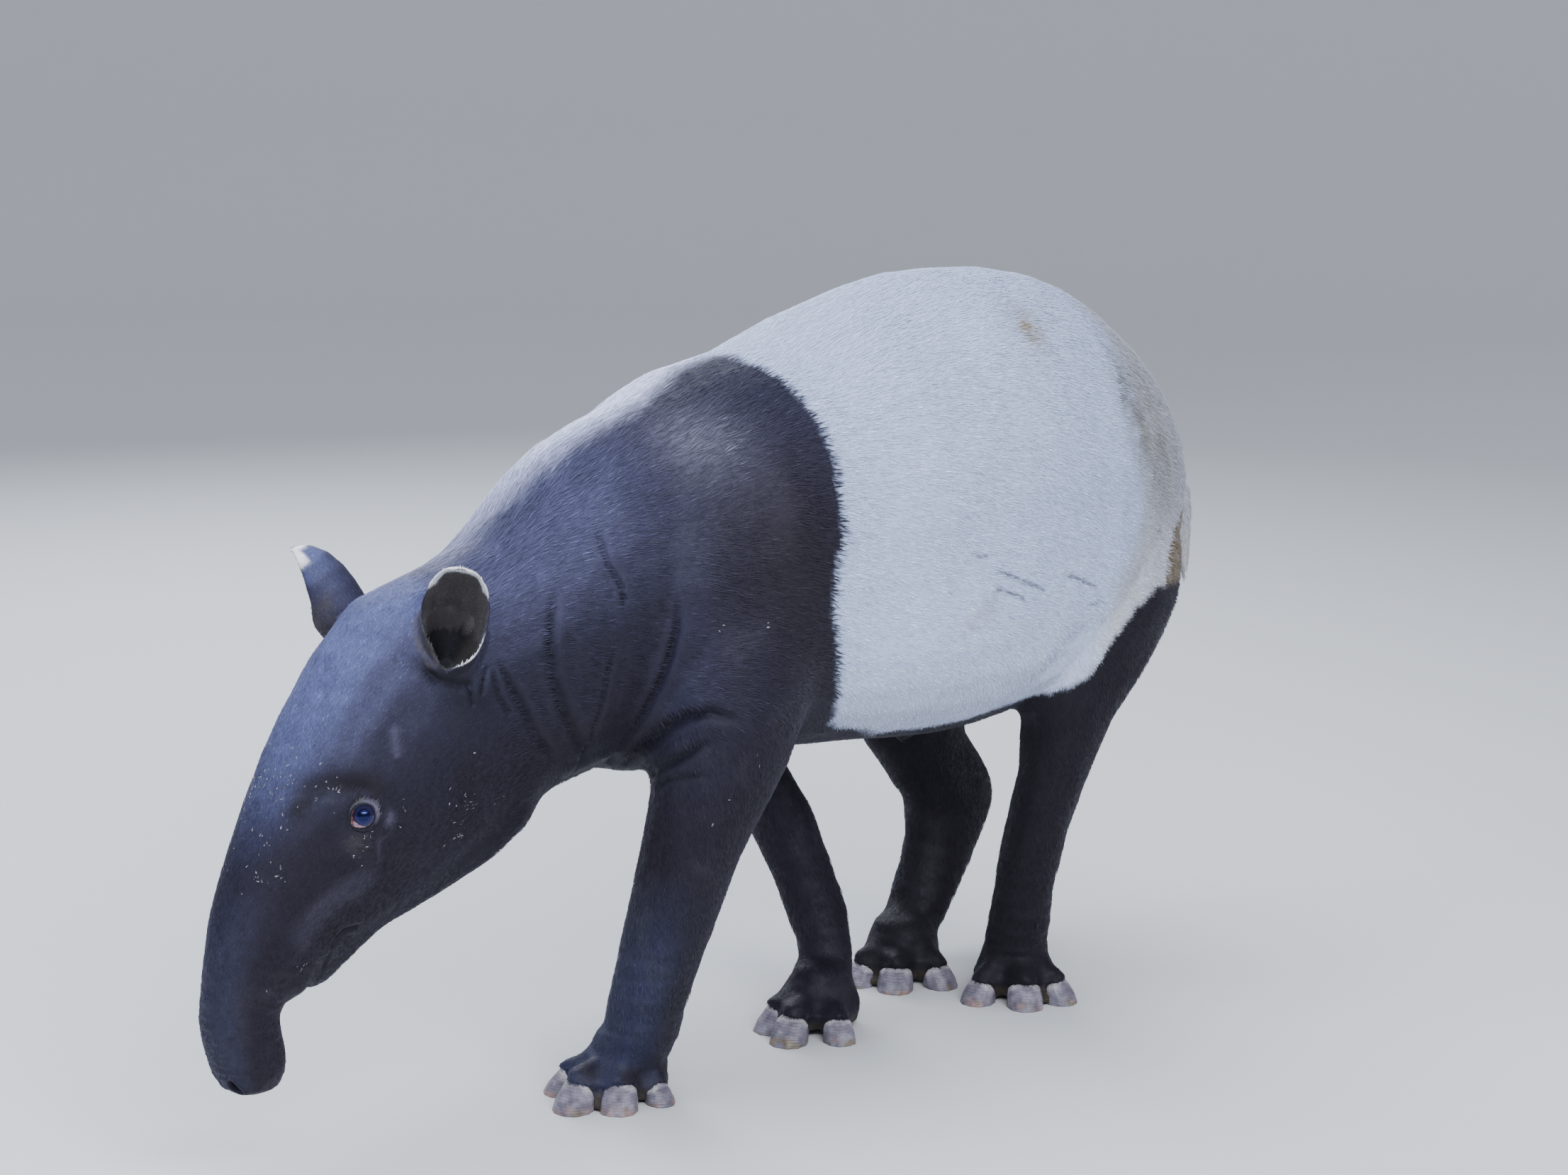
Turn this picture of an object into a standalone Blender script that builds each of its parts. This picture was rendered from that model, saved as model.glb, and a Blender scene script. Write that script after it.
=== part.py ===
"""A Malayan tapir, life size, in mid stride with its head lowered.

Metres, +Z up. The head points to -X and the animal's left side faces -Y. The origin is on
the floor, below the middle of the body's bounding box. The flesh is modelled whole from
lofts that a voxel remesh joins, and is then parted along thin gaps.
"""

from math import cos, pi, radians, sin

import bmesh
import bpy
from mathutils import Matrix, Vector

# Gap left between neighbouring solids.
GAP = 0.0003
# Points closer than this are one.
TINY = 0.00005
# Size of the joined flesh's voxels, and the share of its triangles that is kept.
VOXEL = 0.009
KEEP = 0.0200
SMOOTH_STEPS = 6

# Each station of a loft across the body: where it is, how far its axis dips below the
# horizontal in degrees, its reach up, down and to each side, and its fullness, which is
# 2 for an ellipse and more for a squarer section.
TORSO = [
    # x, z, dip, up, down, side, fullness
    (0.828, 0.700, 0, 0.040, 0.080, 0.036, 2.0),
    (0.795, 0.705, 0, 0.120, 0.150, 0.090, 2.0),
    (0.735, 0.710, 0, 0.190, 0.195, 0.145, 2.0),
    (0.640, 0.712, 0, 0.256, 0.240, 0.200, 2.1),
    (0.500, 0.710, 0, 0.324, 0.282, 0.246, 2.2),
    (0.320, 0.700, 0, 0.345, 0.296, 0.266, 2.2),
    (0.160, 0.690, 0, 0.322, 0.276, 0.264, 2.2),
    (0.020, 0.685, 0, 0.280, 0.257, 0.248, 2.2),
    (-0.120, 0.675, 0, 0.262, 0.241, 0.230, 2.2),
    (-0.250, 0.650, 0, 0.222, 0.215, 0.186, 2.1),
    (-0.330, 0.630, 0, 0.150, 0.165, 0.116, 2.0),
]
NECK = [
    (-0.080, 0.690, 6, 0.245, 0.230, 0.200, 2.1),
    (-0.240, 0.668, 20, 0.212, 0.223, 0.170, 2.1),
    (-0.370, 0.617, 36, 0.164, 0.206, 0.142, 2.1),
    (-0.480, 0.560, 46, 0.203, 0.182, 0.124, 2.0),
    (-0.560, 0.512, 50, 0.162, 0.170, 0.112, 2.1),
]
HEAD = [
    (-0.470, 0.600, 44, 0.140, 0.130, 0.085, 2.0),
    (-0.530, 0.560, 46, 0.167, 0.175, 0.106, 2.1),
    (-0.600, 0.500, 49, 0.153, 0.185, 0.106, 2.1),
    (-0.660, 0.440, 53, 0.133, 0.160, 0.095, 2.1),
    (-0.725, 0.370, 60, 0.106, 0.126, 0.073, 2.1),
    (-0.779, 0.305, 67, 0.078, 0.090, 0.055, 2.1),
    (-0.811, 0.250, 76, 0.053, 0.050, 0.047, 2.1),
    (-0.810, 0.205, 80, 0.055, 0.051, 0.048, 2.1),
    (-0.802, 0.165, 84, 0.051, 0.047, 0.046, 2.1),
    (-0.798, 0.130, 88, 0.037, 0.032, 0.032, 2.0),
]
# The lower jaw, from below the ear to the lower lip.
JAW = [
    (-0.400, 0.500, 30, 0.060, 0.070, 0.060, 2.0),
    (-0.460, 0.455, 36, 0.080, 0.096, 0.074, 2.0),
    (-0.550, 0.402, 38, 0.070, 0.088, 0.062, 2.0),
    (-0.640, 0.340, 38, 0.058, 0.053, 0.046, 2.0),
    (-0.700, 0.296, 38, 0.046, 0.047, 0.036, 2.0),
    (-0.740, 0.266, 40, 0.026, 0.036, 0.024, 2.0),
]
SHEATH = [
    (0.350, 0.450, 0, 0.040, 0.040, 0.030, 2.0),
    (0.312, 0.412, 30, 0.026, 0.026, 0.024, 2.0),
    (0.290, 0.392, 40, 0.012, 0.012, 0.012, 2.0),
]

# Each station down the tail or a leg: x, y, z, its reach to the front, to the back and to
# each side.
TAIL = [
    (0.785, -0.020, 0.745, 0.050, 0.035, 0.040),
    (0.824, -0.037, 0.705, 0.036, 0.031, 0.032),
    (0.842, -0.041, 0.665, 0.028, 0.0240, 0.026),
    (0.847, -0.046, 0.625, 0.021, 0.0190, 0.020),
    (0.846, -0.051, 0.590, 0.016, 0.0150, 0.015),
    (0.844, -0.056, 0.556, 0.010, 0.0090, 0.010),
]
FORELEG_LEFT = [
    (-0.120, -0.100, 0.760, 0.080, 0.080, 0.060),
    (-0.140, -0.130, 0.660, 0.110, 0.110, 0.090),
    (-0.155, -0.145, 0.560, 0.118, 0.112, 0.090),
    (-0.175, -0.147, 0.470, 0.100, 0.098, 0.080),
    (-0.203, -0.142, 0.390, 0.078, 0.080, 0.068),
    (-0.223, -0.124, 0.310, 0.066, 0.068, 0.060),
    (-0.230, -0.099, 0.230, 0.058, 0.067, 0.055),
    (-0.234, -0.076, 0.160, 0.051, 0.062, 0.052),
    (-0.232, -0.050, 0.095, 0.044, 0.062, 0.052),
    (-0.228, -0.032, 0.060, 0.044, 0.059, 0.052),
]
FORELEG_RIGHT = [
    (-0.120, 0.100, 0.760, 0.080, 0.080, 0.060),
    (-0.110, 0.130, 0.660, 0.110, 0.110, 0.090),
    (-0.065, 0.143, 0.560, 0.115, 0.110, 0.088),
    (0.010, 0.143, 0.470, 0.092, 0.092, 0.074),
    (0.094, 0.138, 0.390, 0.066, 0.070, 0.060),
    (0.160, 0.124, 0.310, 0.055, 0.056, 0.054),
    (0.188, 0.097, 0.230, 0.048, 0.050, 0.050),
    (0.199, 0.068, 0.160, 0.045, 0.047, 0.046),
    (0.203, 0.041, 0.095, 0.043, 0.033, 0.043),
    (0.185, 0.025, 0.060, 0.043, 0.032, 0.044),
]
HINDLEG_LEFT = [
    (0.560, -0.095, 0.800, 0.110, 0.110, 0.070),
    (0.565, -0.122, 0.700, 0.150, 0.135, 0.092),
    (0.560, -0.136, 0.600, 0.155, 0.138, 0.096),
    (0.524, -0.142, 0.500, 0.114, 0.108, 0.086),
    (0.490, -0.142, 0.420, 0.067, 0.070, 0.066),
    (0.476, -0.134, 0.350, 0.053, 0.060, 0.053),
    (0.466, -0.122, 0.290, 0.047, 0.055, 0.047),
    (0.460, -0.106, 0.220, 0.046, 0.050, 0.045),
    (0.463, -0.088, 0.140, 0.044, 0.046, 0.044),
    (0.472, -0.072, 0.070, 0.052, 0.050, 0.045),
]
HINDLEG_RIGHT = [
    (0.560, 0.095, 0.800, 0.110, 0.110, 0.070),
    (0.560, 0.122, 0.700, 0.150, 0.140, 0.092),
    (0.540, 0.138, 0.600, 0.155, 0.150, 0.096),
    (0.490, 0.146, 0.500, 0.130, 0.136, 0.088),
    (0.466, 0.146, 0.420, 0.096, 0.100, 0.074),
    (0.478, 0.142, 0.350, 0.095, 0.086, 0.062),
    (0.522, 0.138, 0.290, 0.098, 0.084, 0.055),
    (0.548, 0.134, 0.230, 0.084, 0.080, 0.050),
    (0.508, 0.123, 0.155, 0.060, 0.064, 0.048),
    (0.455, 0.110, 0.085, 0.050, 0.050, 0.046),
    (0.430, 0.105, 0.055, 0.046, 0.046, 0.044),
]

LEGS = {
    "foreleg_left": FORELEG_LEFT,
    "foreleg_right": FORELEG_RIGHT,
    "hindleg_left": HINDLEG_LEFT,
    "hindleg_right": HINDLEG_RIGHT,
}
# Heights at which each leg is parted, and the names of the parts below each height.
LEG_CUTS = {
    "foreleg_left": (0.425, 0.225, 0.088),
    "foreleg_right": (0.420, 0.225, 0.088),
    "hindleg_left": (0.395, 0.270, 0.088),
    "hindleg_right": (0.395, 0.250, 0.088),
}
LEG_PARTS = {
    "foreleg_left": ("forearm_left", "foreshank_left", "forefoot_left"),
    "foreleg_right": ("forearm_right", "foreshank_right", "forefoot_right"),
    "hindleg_left": ("gaskin_left", "hindshank_left", "hindfoot_left"),
    "hindleg_right": ("gaskin_right", "hindshank_right", "hindfoot_right"),
}
ROOT_NAMES = {
    "foreleg_left": "shoulder_left",
    "foreleg_right": "shoulder_right",
    "hindleg_left": "thigh_left",
    "hindleg_right": "thigh_right",
}
# The slabs that part a leg reach this far along X and Y.
SLAB_SIZE = (0.30, 0.24)
# A shoulder or thigh is parted this far outside its leg's own stations, down to this far
# below the uppermost cut.
ROOT_MARGIN = 0.020
ROOT_BELOW_CUT = 0.020
ROOT_STATIONS = 5
ROOT_SIDES = 14
# A point inside the trunk, which names the trunk among the parted bodies.
TRUNK_ANCHOR = (0.1, 0.0, 0.7)
# Plane cuts along the body: the new part, the part it leaves, a point and the way ahead.
BODY_CUTS = [
    ("tail", "torso", (0.824, 0.0, 0.660), (0.985, 0.0, -0.17)),
    ("neck", "torso", (-0.278, 0.0, 0.680), (-0.90, 0.0, -0.44)),
    ("head", "neck", (-0.452, 0.0, 0.585), (-0.966, 0.0, -0.26)),
    ("proboscis", "head", (-0.800, 0.0, 0.252), (-0.50, 0.0, -0.87)),
]

# Each foot: where its sole is centred, and how far it turns towards the left, in degrees.
FOOT_PLACES = {
    "forefoot_left": (-0.224, -0.018, 12),
    "forefoot_right": (0.164, 0.014, 14),
    "hindfoot_left": (0.478, -0.066, 50),
    "hindfoot_right": (0.412, 0.098, 42),
}
# Each toe: how far it turns outwards in degrees, its reach from the sole's centre, and its
# size against the middle toe's.
FORE_TOES = {
    "inner": (-50, 0.109, 0.86),
    "middle": (-6, 0.127, 1.0),
    "outer": (30, 0.103, 0.96),
    "small": (80, 0.086, 0.72),
}
HIND_TOES = {
    "inner": (-48, 0.106, 0.92),
    "middle": (4, 0.106, 1.0),
    "outer": (47, 0.106, 0.92),
}
# Down a foot, at full size: height, reach to the front, to the back and to each side.
FOOT = [
    (0.090, 0.040, 0.040, 0.038),
    (0.062, 0.050, 0.048, 0.048),
    (0.038, 0.066, 0.054, 0.059),
    (0.014, 0.066, 0.054, 0.060),
    (0.004, 0.058, 0.046, 0.052),
]
# Up a hoof: height, how far its centre is behind its tip, reach to the front, to the back
# and to each side.
HOOF = [
    (0.000, 0.029, 0.029, 0.024, 0.0265),
    (0.012, 0.032, 0.026, 0.023, 0.0262),
    (0.026, 0.038, 0.020, 0.020, 0.0230),
    (0.038, 0.045, 0.013, 0.013, 0.0150),
]
HOOF_FULLNESS = 2.3
# The room cut for a hoof reaches this many gaps below the floor.
CUT_BELOW_FLOOR = 10
TOE_BEHIND_TIP = 0.052
TOE_HEIGHT = 0.033
TOE_RADII = (0.040, 0.024, 0.030)

EYE_CENTRE = (-0.692, 0.083, 0.468)
EYE_RADIUS = 0.016
EYE_SEGMENTS = 14
EYE_RINGS = 9

# The ears: root, directions of the length and of the opening, and length.
EARS = {
    "ear_left": ((-0.560, -0.076, 0.624), (-0.11, -0.35, 0.93), (-0.62, -0.60, -0.30), 0.136),
    "ear_right": ((-0.577, 0.066, 0.632), (-0.34, 0.54, 0.76), (-0.45, 0.60, -0.55), 0.146),
}
EAR_WALL = 0.006
# Along an ear: share of its length, half width, and half angle of its curl in degrees.
EAR = [
    (0.00, 0.027, 164),
    (0.16, 0.033, 152),
    (0.32, 0.037, 122),
    (0.48, 0.039, 102),
    (0.64, 0.039, 88),
    (0.80, 0.034, 74),
    (0.93, 0.023, 60),
    (1.00, 0.010, 45),
]
EAR_COLUMNS = 10

# Colours and roughnesses.
BLACK_COAT = (0.030, 0.031, 0.040)
WHITE_COAT = (0.560, 0.560, 0.600)
HORN = (0.240, 0.215, 0.225)
EYEBALL = (0.008, 0.008, 0.014)
WHITE_PARTS = ("torso", "thigh_left", "thigh_right", "tail")
COAT_ROUGHNESS = 0.75
HORN_ROUGHNESS = 0.45
EYE_ROUGHNESS = 0.05

SIDES = 32
RINGS_PER_GAP = 4
HOOF_SIDES = 10


def clear_scene():
    for obj in list(bpy.data.objects):
        bpy.data.objects.remove(obj)


def new_collection(name):
    collection = bpy.data.collections.new(name)
    bpy.context.scene.collection.children.link(collection)
    return collection


def new_object(name, bm, collection):
    mesh = bpy.data.meshes.new(name)
    bm.to_mesh(mesh)
    bm.free()
    obj = bpy.data.objects.new(name, mesh)
    collection.objects.link(obj)
    return obj


def through(stations, t):
    """Values at t of a smooth curve through the stations; t runs from 0 to the last one's index."""
    last = len(stations) - 1
    i = min(int(t), last - 1)
    f = t - i
    before = stations[max(i - 1, 0)]
    here = stations[i]
    after = stations[i + 1]
    beyond = stations[min(i + 2, last)]
    values = []
    for p, q, r, s in zip(before, here, after, beyond):
        slope = r - p
        bend = 2 * p - 5 * q + 4 * r - s
        twist = 3 * q - p - 3 * r + s
        values.append(0.5 * (2 * q + slope * f + bend * f**2 + twist * f**3))
    return values


def ring(bm, centre, dip, yaw, up, down, side, fullness, sides):
    """One cross section: a superellipse square to an axis that dips towards the heading."""
    lift = Vector((-sin(dip) * cos(yaw), -sin(dip) * sin(yaw), cos(dip)))
    across = Vector((-sin(yaw), cos(yaw), 0.0))
    verts = []
    for k in range(sides):
        a = 2 * pi * k / sides
        c, s = cos(a), sin(a)
        c = abs(c) ** (2 / fullness) * (1 if c >= 0 else -1)
        s = abs(s) ** (2 / fullness) * (1 if s >= 0 else -1)
        reach = up if s >= 0 else down
        verts.append(bm.verts.new(centre + across * (side * c) + lift * (reach * s)))
    return verts


def loft(bm, sections, steps=RINGS_PER_GAP, sides=SIDES):
    """A closed tube through sections, each (x, y, z, dip, yaw, up, down, side, fullness)."""
    last = len(sections) - 1
    rings = []
    for step in range(last * steps + 1):
        x, y, z, dip, yaw, up, down, side, fullness = through(sections, step / steps)
        rings.append(ring(bm, Vector((x, y, z)), dip, yaw, up, down, side, fullness, sides))
    faces = []
    for a, b in zip(rings, rings[1:]):
        for k in range(sides):
            j = (k + 1) % sides
            faces.append(bm.faces.new((a[k], a[j], b[j], b[k])))
    faces.append(bm.faces.new(rings[0]))
    faces.append(bm.faces.new(list(reversed(rings[-1]))))
    bmesh.ops.recalc_face_normals(bm, faces=faces)


def body_loft(bm, stations):
    sections = []
    for x, z, dip, up, down, side, fullness in stations:
        sections.append((x, 0.0, z, radians(dip), 0.0, up, down, side, fullness))
    loft(bm, sections)


def leg_loft(bm, stations):
    sections = []
    for x, y, z, front, back, side in stations:
        sections.append((x, y, z, pi / 2, 0.0, front, back, side, 2.0))
    loft(bm, sections)


def foot_toes(name):
    """The toes of a foot: name, world angle from -X towards -Y, reach and size."""
    turn = FOOT_PLACES[name][2]
    outward = 1 if name.endswith("left") else -1
    toes = FORE_TOES if name.startswith("fore") else HIND_TOES
    found = []
    for toe, (angle, reach, size) in toes.items():
        found.append((toe, radians(turn + outward * angle), reach, size))
    return found


def foot_flesh(bm, name):
    x, y, turn = FOOT_PLACES[name]
    sections = []
    for z, front, back, side in FOOT:
        sections.append((x, y, z, pi / 2, radians(turn), front, back, side, 2.0))
    loft(bm, sections)
    for _, angle, reach, size in foot_toes(name):
        out = reach - TOE_BEHIND_TIP * size
        centre = Vector((x - cos(angle) * out, y - sin(angle) * out, TOE_HEIGHT * size))
        place = Matrix.Translation(centre) @ Matrix.Rotation(angle, 4, "Z")
        scale = Matrix.Diagonal((*[r * size for r in TOE_RADII], 1.0))
        bmesh.ops.create_icosphere(bm, subdivisions=3, radius=1.0, matrix=place @ scale)


def hoof(name, foot, angle, reach, size, grow, collection):
    x, y, _ = FOOT_PLACES[foot]
    sections = []
    for height, behind, front, back, side in HOOF:
        out = reach - behind * size
        z = height * size
        sections.append(
            (
                x - cos(angle) * out,
                y - sin(angle) * out,
                z + (grow if height > 0 else -grow * CUT_BELOW_FLOOR),
                pi / 2,
                angle,
                front * size + grow,
                back * size + grow,
                side * size + grow,
                HOOF_FULLNESS,
            )
        )
    bm = bmesh.new()
    loft(bm, sections, steps=1, sides=HOOF_SIDES)
    return new_object(name, bm, collection)


def apply_modifiers(obj):
    graph = bpy.context.evaluated_depsgraph_get()
    mesh = bpy.data.meshes.new_from_object(obj.evaluated_get(graph))
    obj.modifiers.clear()
    obj.data = mesh


def boolean(obj, cutter, operation):
    modifier = obj.modifiers.new("cut", "BOOLEAN")
    modifier.operation = operation
    modifier.solver = "EXACT"
    modifier.object = cutter
    apply_modifiers(obj)
    drop_tiny_edges(obj)


def drop_tiny_edges(obj):
    bm = bmesh.new()
    bm.from_mesh(obj.data)
    bmesh.ops.remove_doubles(bm, verts=bm.verts, dist=TINY)
    bmesh.ops.dissolve_degenerate(bm, edges=bm.edges, dist=TINY)
    bm.to_mesh(obj.data)
    bm.free()


def whole_flesh(collection):
    bm = bmesh.new()
    for stations in (TORSO, NECK, HEAD, JAW, SHEATH):
        body_loft(bm, stations)
    for stations in (TAIL, FORELEG_LEFT, FORELEG_RIGHT, HINDLEG_LEFT, HINDLEG_RIGHT):
        leg_loft(bm, stations)
    for foot in FOOT_PLACES:
        foot_flesh(bm, foot)
    flesh = new_object("flesh", bm, collection)
    remesh = flesh.modifiers.new("join", "REMESH")
    remesh.mode = "VOXEL"
    remesh.voxel_size = VOXEL
    smooth = flesh.modifiers.new("smooth", "SMOOTH")
    smooth.factor = 0.5
    smooth.iterations = SMOOTH_STEPS
    decimate = flesh.modifiers.new("thin", "DECIMATE")
    decimate.ratio = KEEP
    apply_modifiers(flesh)
    return flesh


def sphere(name, centre, radius, collection):
    bm = bmesh.new()
    place = Matrix.Translation(centre)
    bmesh.ops.create_uvsphere(
        bm, u_segments=EYE_SEGMENTS, v_segments=EYE_RINGS, radius=radius, matrix=place
    )
    return new_object(name, bm, collection)


def ear(name, collection):
    """A curled leaf with a wall, its hollow facing the opening."""
    root, axis, opening, length = EARS[name]
    root = Vector(root)
    axis = Vector(axis).normalized()
    opening = Vector(opening)
    opening = (opening - axis * opening.dot(axis)).normalized()
    across = axis.cross(opening)
    bm = bmesh.new()
    rows = []
    for share, half_width, curl in EAR:
        curl = radians(curl)
        radius = half_width / (sin(curl) if curl < pi / 2 else 1.0)
        row = []
        for column in range(EAR_COLUMNS + 1):
            a = curl * (2 * column / EAR_COLUMNS - 1)
            offset = across * (radius * sin(a)) + opening * (radius * (1 - cos(a)) - half_width)
            row.append(bm.verts.new(root + axis * (length * share) + offset))
        rows.append(row)
    for low, high in zip(rows, rows[1:]):
        for k in range(EAR_COLUMNS):
            bm.faces.new((low[k], low[k + 1], high[k + 1], high[k]))
    obj = new_object(name, bm, collection)
    wall = obj.modifiers.new("wall", "SOLIDIFY")
    wall.thickness = EAR_WALL
    wall.offset = 0.0
    apply_modifiers(obj)
    return obj


def thin_slabs(collection):
    """Flat slabs, one gap thick, that cross each leg at its joints."""
    bm = bmesh.new()
    for leg, levels in LEG_CUTS.items():
        for z in levels:
            x, y = leg_centre(leg, z)
            place = Matrix.Translation((x, y, z)) @ Matrix.Diagonal((*SLAB_SIZE, GAP, 1.0))
            bmesh.ops.create_cube(bm, size=1.0, matrix=place)
    return new_object("joint_slabs", bm, collection)


def leg_centre(leg, z):
    """Where the middle of a leg is at a height."""
    stations = LEGS[leg]
    for above, below in zip(stations, stations[1:]):
        if above[2] >= z >= below[2]:
            share = (above[2] - z) / (above[2] - below[2])
            return tuple(a + (b - a) * share for a, b in zip(above[:2], below[:2]))
    return stations[-1][:2]


def limb_root(name, leg, grow, collection):
    """The zone that parts a shoulder or a thigh from the trunk."""
    bm = bmesh.new()
    sections = []
    for x, y, z, front, back, side in LEGS[leg][:ROOT_STATIONS]:
        wide = ROOT_MARGIN + grow
        sections.append((x, y, z, pi / 2, 0.0, front + wide, back + wide, side + wide, 2.0))
    low = LEG_CUTS[leg][0] - ROOT_BELOW_CUT
    sections = [s for s in sections if s[2] > low]
    last = list(sections[-1])
    last[2] = low
    sections.append(tuple(last))
    first = list(sections[0])
    first[2] += grow
    sections[0] = tuple(first)
    loft(bm, sections, steps=1, sides=ROOT_SIDES)
    bmesh.ops.triangulate(bm, faces=bm.faces, quad_method="FIXED", ngon_method="EAR_CLIP")
    return new_object(name, bm, collection)


def loose_parts(obj, collection):
    """The separate bodies of a mesh, each as an object of its own."""
    bm = bmesh.new()
    bm.from_mesh(obj.data)
    bm.verts.ensure_lookup_table()
    group = {}
    parts = 0
    for vert in bm.verts:
        if vert.index in group:
            continue
        queue = [vert]
        group[vert.index] = parts
        while queue:
            for edge in queue.pop().link_edges:
                for other in edge.verts:
                    if other.index not in group:
                        group[other.index] = parts
                        queue.append(other)
        parts += 1
    pieces = []
    for part in range(parts):
        piece = bm.copy()
        piece.verts.ensure_lookup_table()
        away = [v for v in piece.verts if group[v.index] != part]
        bmesh.ops.delete(piece, geom=away, context="VERTS")
        pieces.append(new_object("piece", piece, collection))
    bm.free()
    bpy.data.objects.remove(obj)
    return pieces


def middle(obj):
    corners = [v.co for v in obj.data.vertices]
    return sum(corners, Vector()) / len(corners)


def copy_of(obj, name, collection):
    twin = bpy.data.objects.new(name, obj.data.copy())
    collection.objects.link(twin)
    return twin


def grown(obj, name, collection):
    """A copy of a solid with its faces moved out by the gap."""
    twin = copy_of(obj, name, collection)
    displace = twin.modifiers.new("grow", "DISPLACE")
    displace.strength = GAP
    displace.mid_level = 0.0
    apply_modifiers(twin)
    return twin


def keep_side(obj, point, normal):
    """Cut a solid by a plane, keep what lies behind the normal and close the cut."""
    bm = bmesh.new()
    bm.from_mesh(obj.data)
    geometry = bm.verts[:] + bm.edges[:] + bm.faces[:]
    bmesh.ops.bisect_plane(bm, geom=geometry, plane_co=point, plane_no=normal, clear_outer=True)
    rim = [e for e in bm.edges if e.is_boundary]
    bmesh.ops.holes_fill(bm, edges=rim)
    bmesh.ops.recalc_face_normals(bm, faces=bm.faces)
    bm.to_mesh(obj.data)
    bm.free()
    drop_tiny_edges(obj)


def part_by_plane(obj, name, point, normal, collection):
    """Split off what lies ahead of the normal as a new solid, a gap apart."""
    normal = Vector(normal).normalized()
    point = Vector(point)
    ahead = copy_of(obj, name, collection)
    keep_side(ahead, point + normal * GAP / 2, -normal)
    keep_side(obj, point - normal * GAP / 2, normal)
    return ahead


def centre_on_floor(objects):
    """Move the solids so that the middle of their bounding box is above the origin."""
    corners = [v.co for obj in objects for v in obj.data.vertices]
    shift = Vector()
    for axis in (0, 1):
        values = [c[axis] for c in corners]
        shift[axis] = -(min(values) + max(values)) / 2
    for obj in objects:
        obj.data.transform(Matrix.Translation(shift))


def paint(obj):
    colour, roughness = BLACK_COAT, COAT_ROUGHNESS
    if obj.name in WHITE_PARTS:
        colour = WHITE_COAT
    if "hoof" in obj.name:
        colour, roughness = HORN, HORN_ROUGHNESS
    if obj.name.startswith("eye"):
        colour, roughness = EYEBALL, EYE_ROUGHNESS
    material = bpy.data.materials.new(obj.name + "_surface")
    material.use_nodes = True
    shader = material.node_tree.nodes["Principled BSDF"]
    shader.inputs["Base Color"].default_value = (*colour, 1.0)
    shader.inputs["Roughness"].default_value = roughness
    shader.inputs["Metallic"].default_value = 0.0
    obj.data.materials.clear()
    obj.data.materials.append(material)


def leg_anchors():
    """The middle of every part of every leg, by name."""
    anchors = {}
    for leg, levels in LEG_CUTS.items():
        bounds = [*levels, 0.0]
        for name, top, bottom in zip(LEG_PARTS[leg], bounds, bounds[1:]):
            z = (top + bottom) / 2
            anchors[name] = Vector((*leg_centre(leg, z), z))
    return anchors


def part_legs(flesh, collection, cutters):
    """Part the legs from the trunk and at their joints, and name each body by what it is nearest to."""
    boolean(flesh, thin_slabs(cutters), "DIFFERENCE")
    anchors = {"torso": Vector(TRUNK_ANCHOR), **leg_anchors()}
    named = {}
    for piece in loose_parts(flesh, collection):
        place = middle(piece)
        name = min(anchors, key=lambda n: (anchors[n] - place).length)
        piece.name = name
        named[name] = piece
    return named


def part_limb_roots(torso, collection, cutters):
    """Part the shoulders and thighs from the trunk."""
    for leg, name in ROOT_NAMES.items():
        zone = limb_root(leg + "_zone", leg, 0.0, cutters)
        wide = limb_root(leg + "_wide_zone", leg, GAP, cutters)
        root = copy_of(torso, name, collection)
        boolean(root, zone, "INTERSECT")
        boolean(torso, wide, "DIFFERENCE")


def set_hooves(named, collection, cutters):
    """Set every hoof into room that its foot leaves for it."""
    for foot in FOOT_PLACES:
        for toe, angle, reach, size in foot_toes(foot):
            name = foot.replace("foot", "hoof") + "_" + toe
            hoof(name, foot, angle, reach, size, 0.0, collection)
            room = hoof(name + "_room", foot, angle, reach, size, GAP, cutters)
            boolean(named[foot], room, "DIFFERENCE")


def set_eyes(head, collection, cutters):
    x, y, z = EYE_CENTRE
    for name, side in (("eye_right", 1), ("eye_left", -1)):
        centre = (x, side * y, z)
        sphere(name, centre, EYE_RADIUS, collection)
        room = sphere(name + "_room", centre, EYE_RADIUS + GAP, cutters)
        boolean(head, room, "DIFFERENCE")


def set_ears(head, collection, cutters):
    """Stand the ears on the head, a gap away from it."""
    room = grown(head, "head_room", cutters)
    for name in EARS:
        boolean(ear(name, collection), room, "DIFFERENCE")


def main():
    clear_scene()
    tapir = new_collection("tapir")
    cutters = new_collection("cutters")
    named = part_legs(whole_flesh(tapir), tapir, cutters)
    part_limb_roots(named["torso"], tapir, cutters)
    for name, behind, point, normal in BODY_CUTS:
        named[name] = part_by_plane(named[behind], name, point, normal, tapir)
    set_hooves(named, tapir, cutters)
    set_eyes(named["head"], tapir, cutters)
    set_ears(named["head"], tapir, cutters)
    for cutter in cutters.objects:
        cutter.hide_render = True
        cutter.display_type = "WIRE"
    centre_on_floor(tapir.objects)
    for obj in tapir.objects:
        paint(obj)


main()
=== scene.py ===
"""The looks of a life-size Malayan tapir: one skin over the flesh, its coat, ears, eyes and hooves."""

from contextlib import contextmanager
from math import cos, pi, radians, sin

import bmesh
import bpy
import numpy as np
from mathutils import Matrix, Vector
from mathutils.bvhtree import BVHTree


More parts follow.
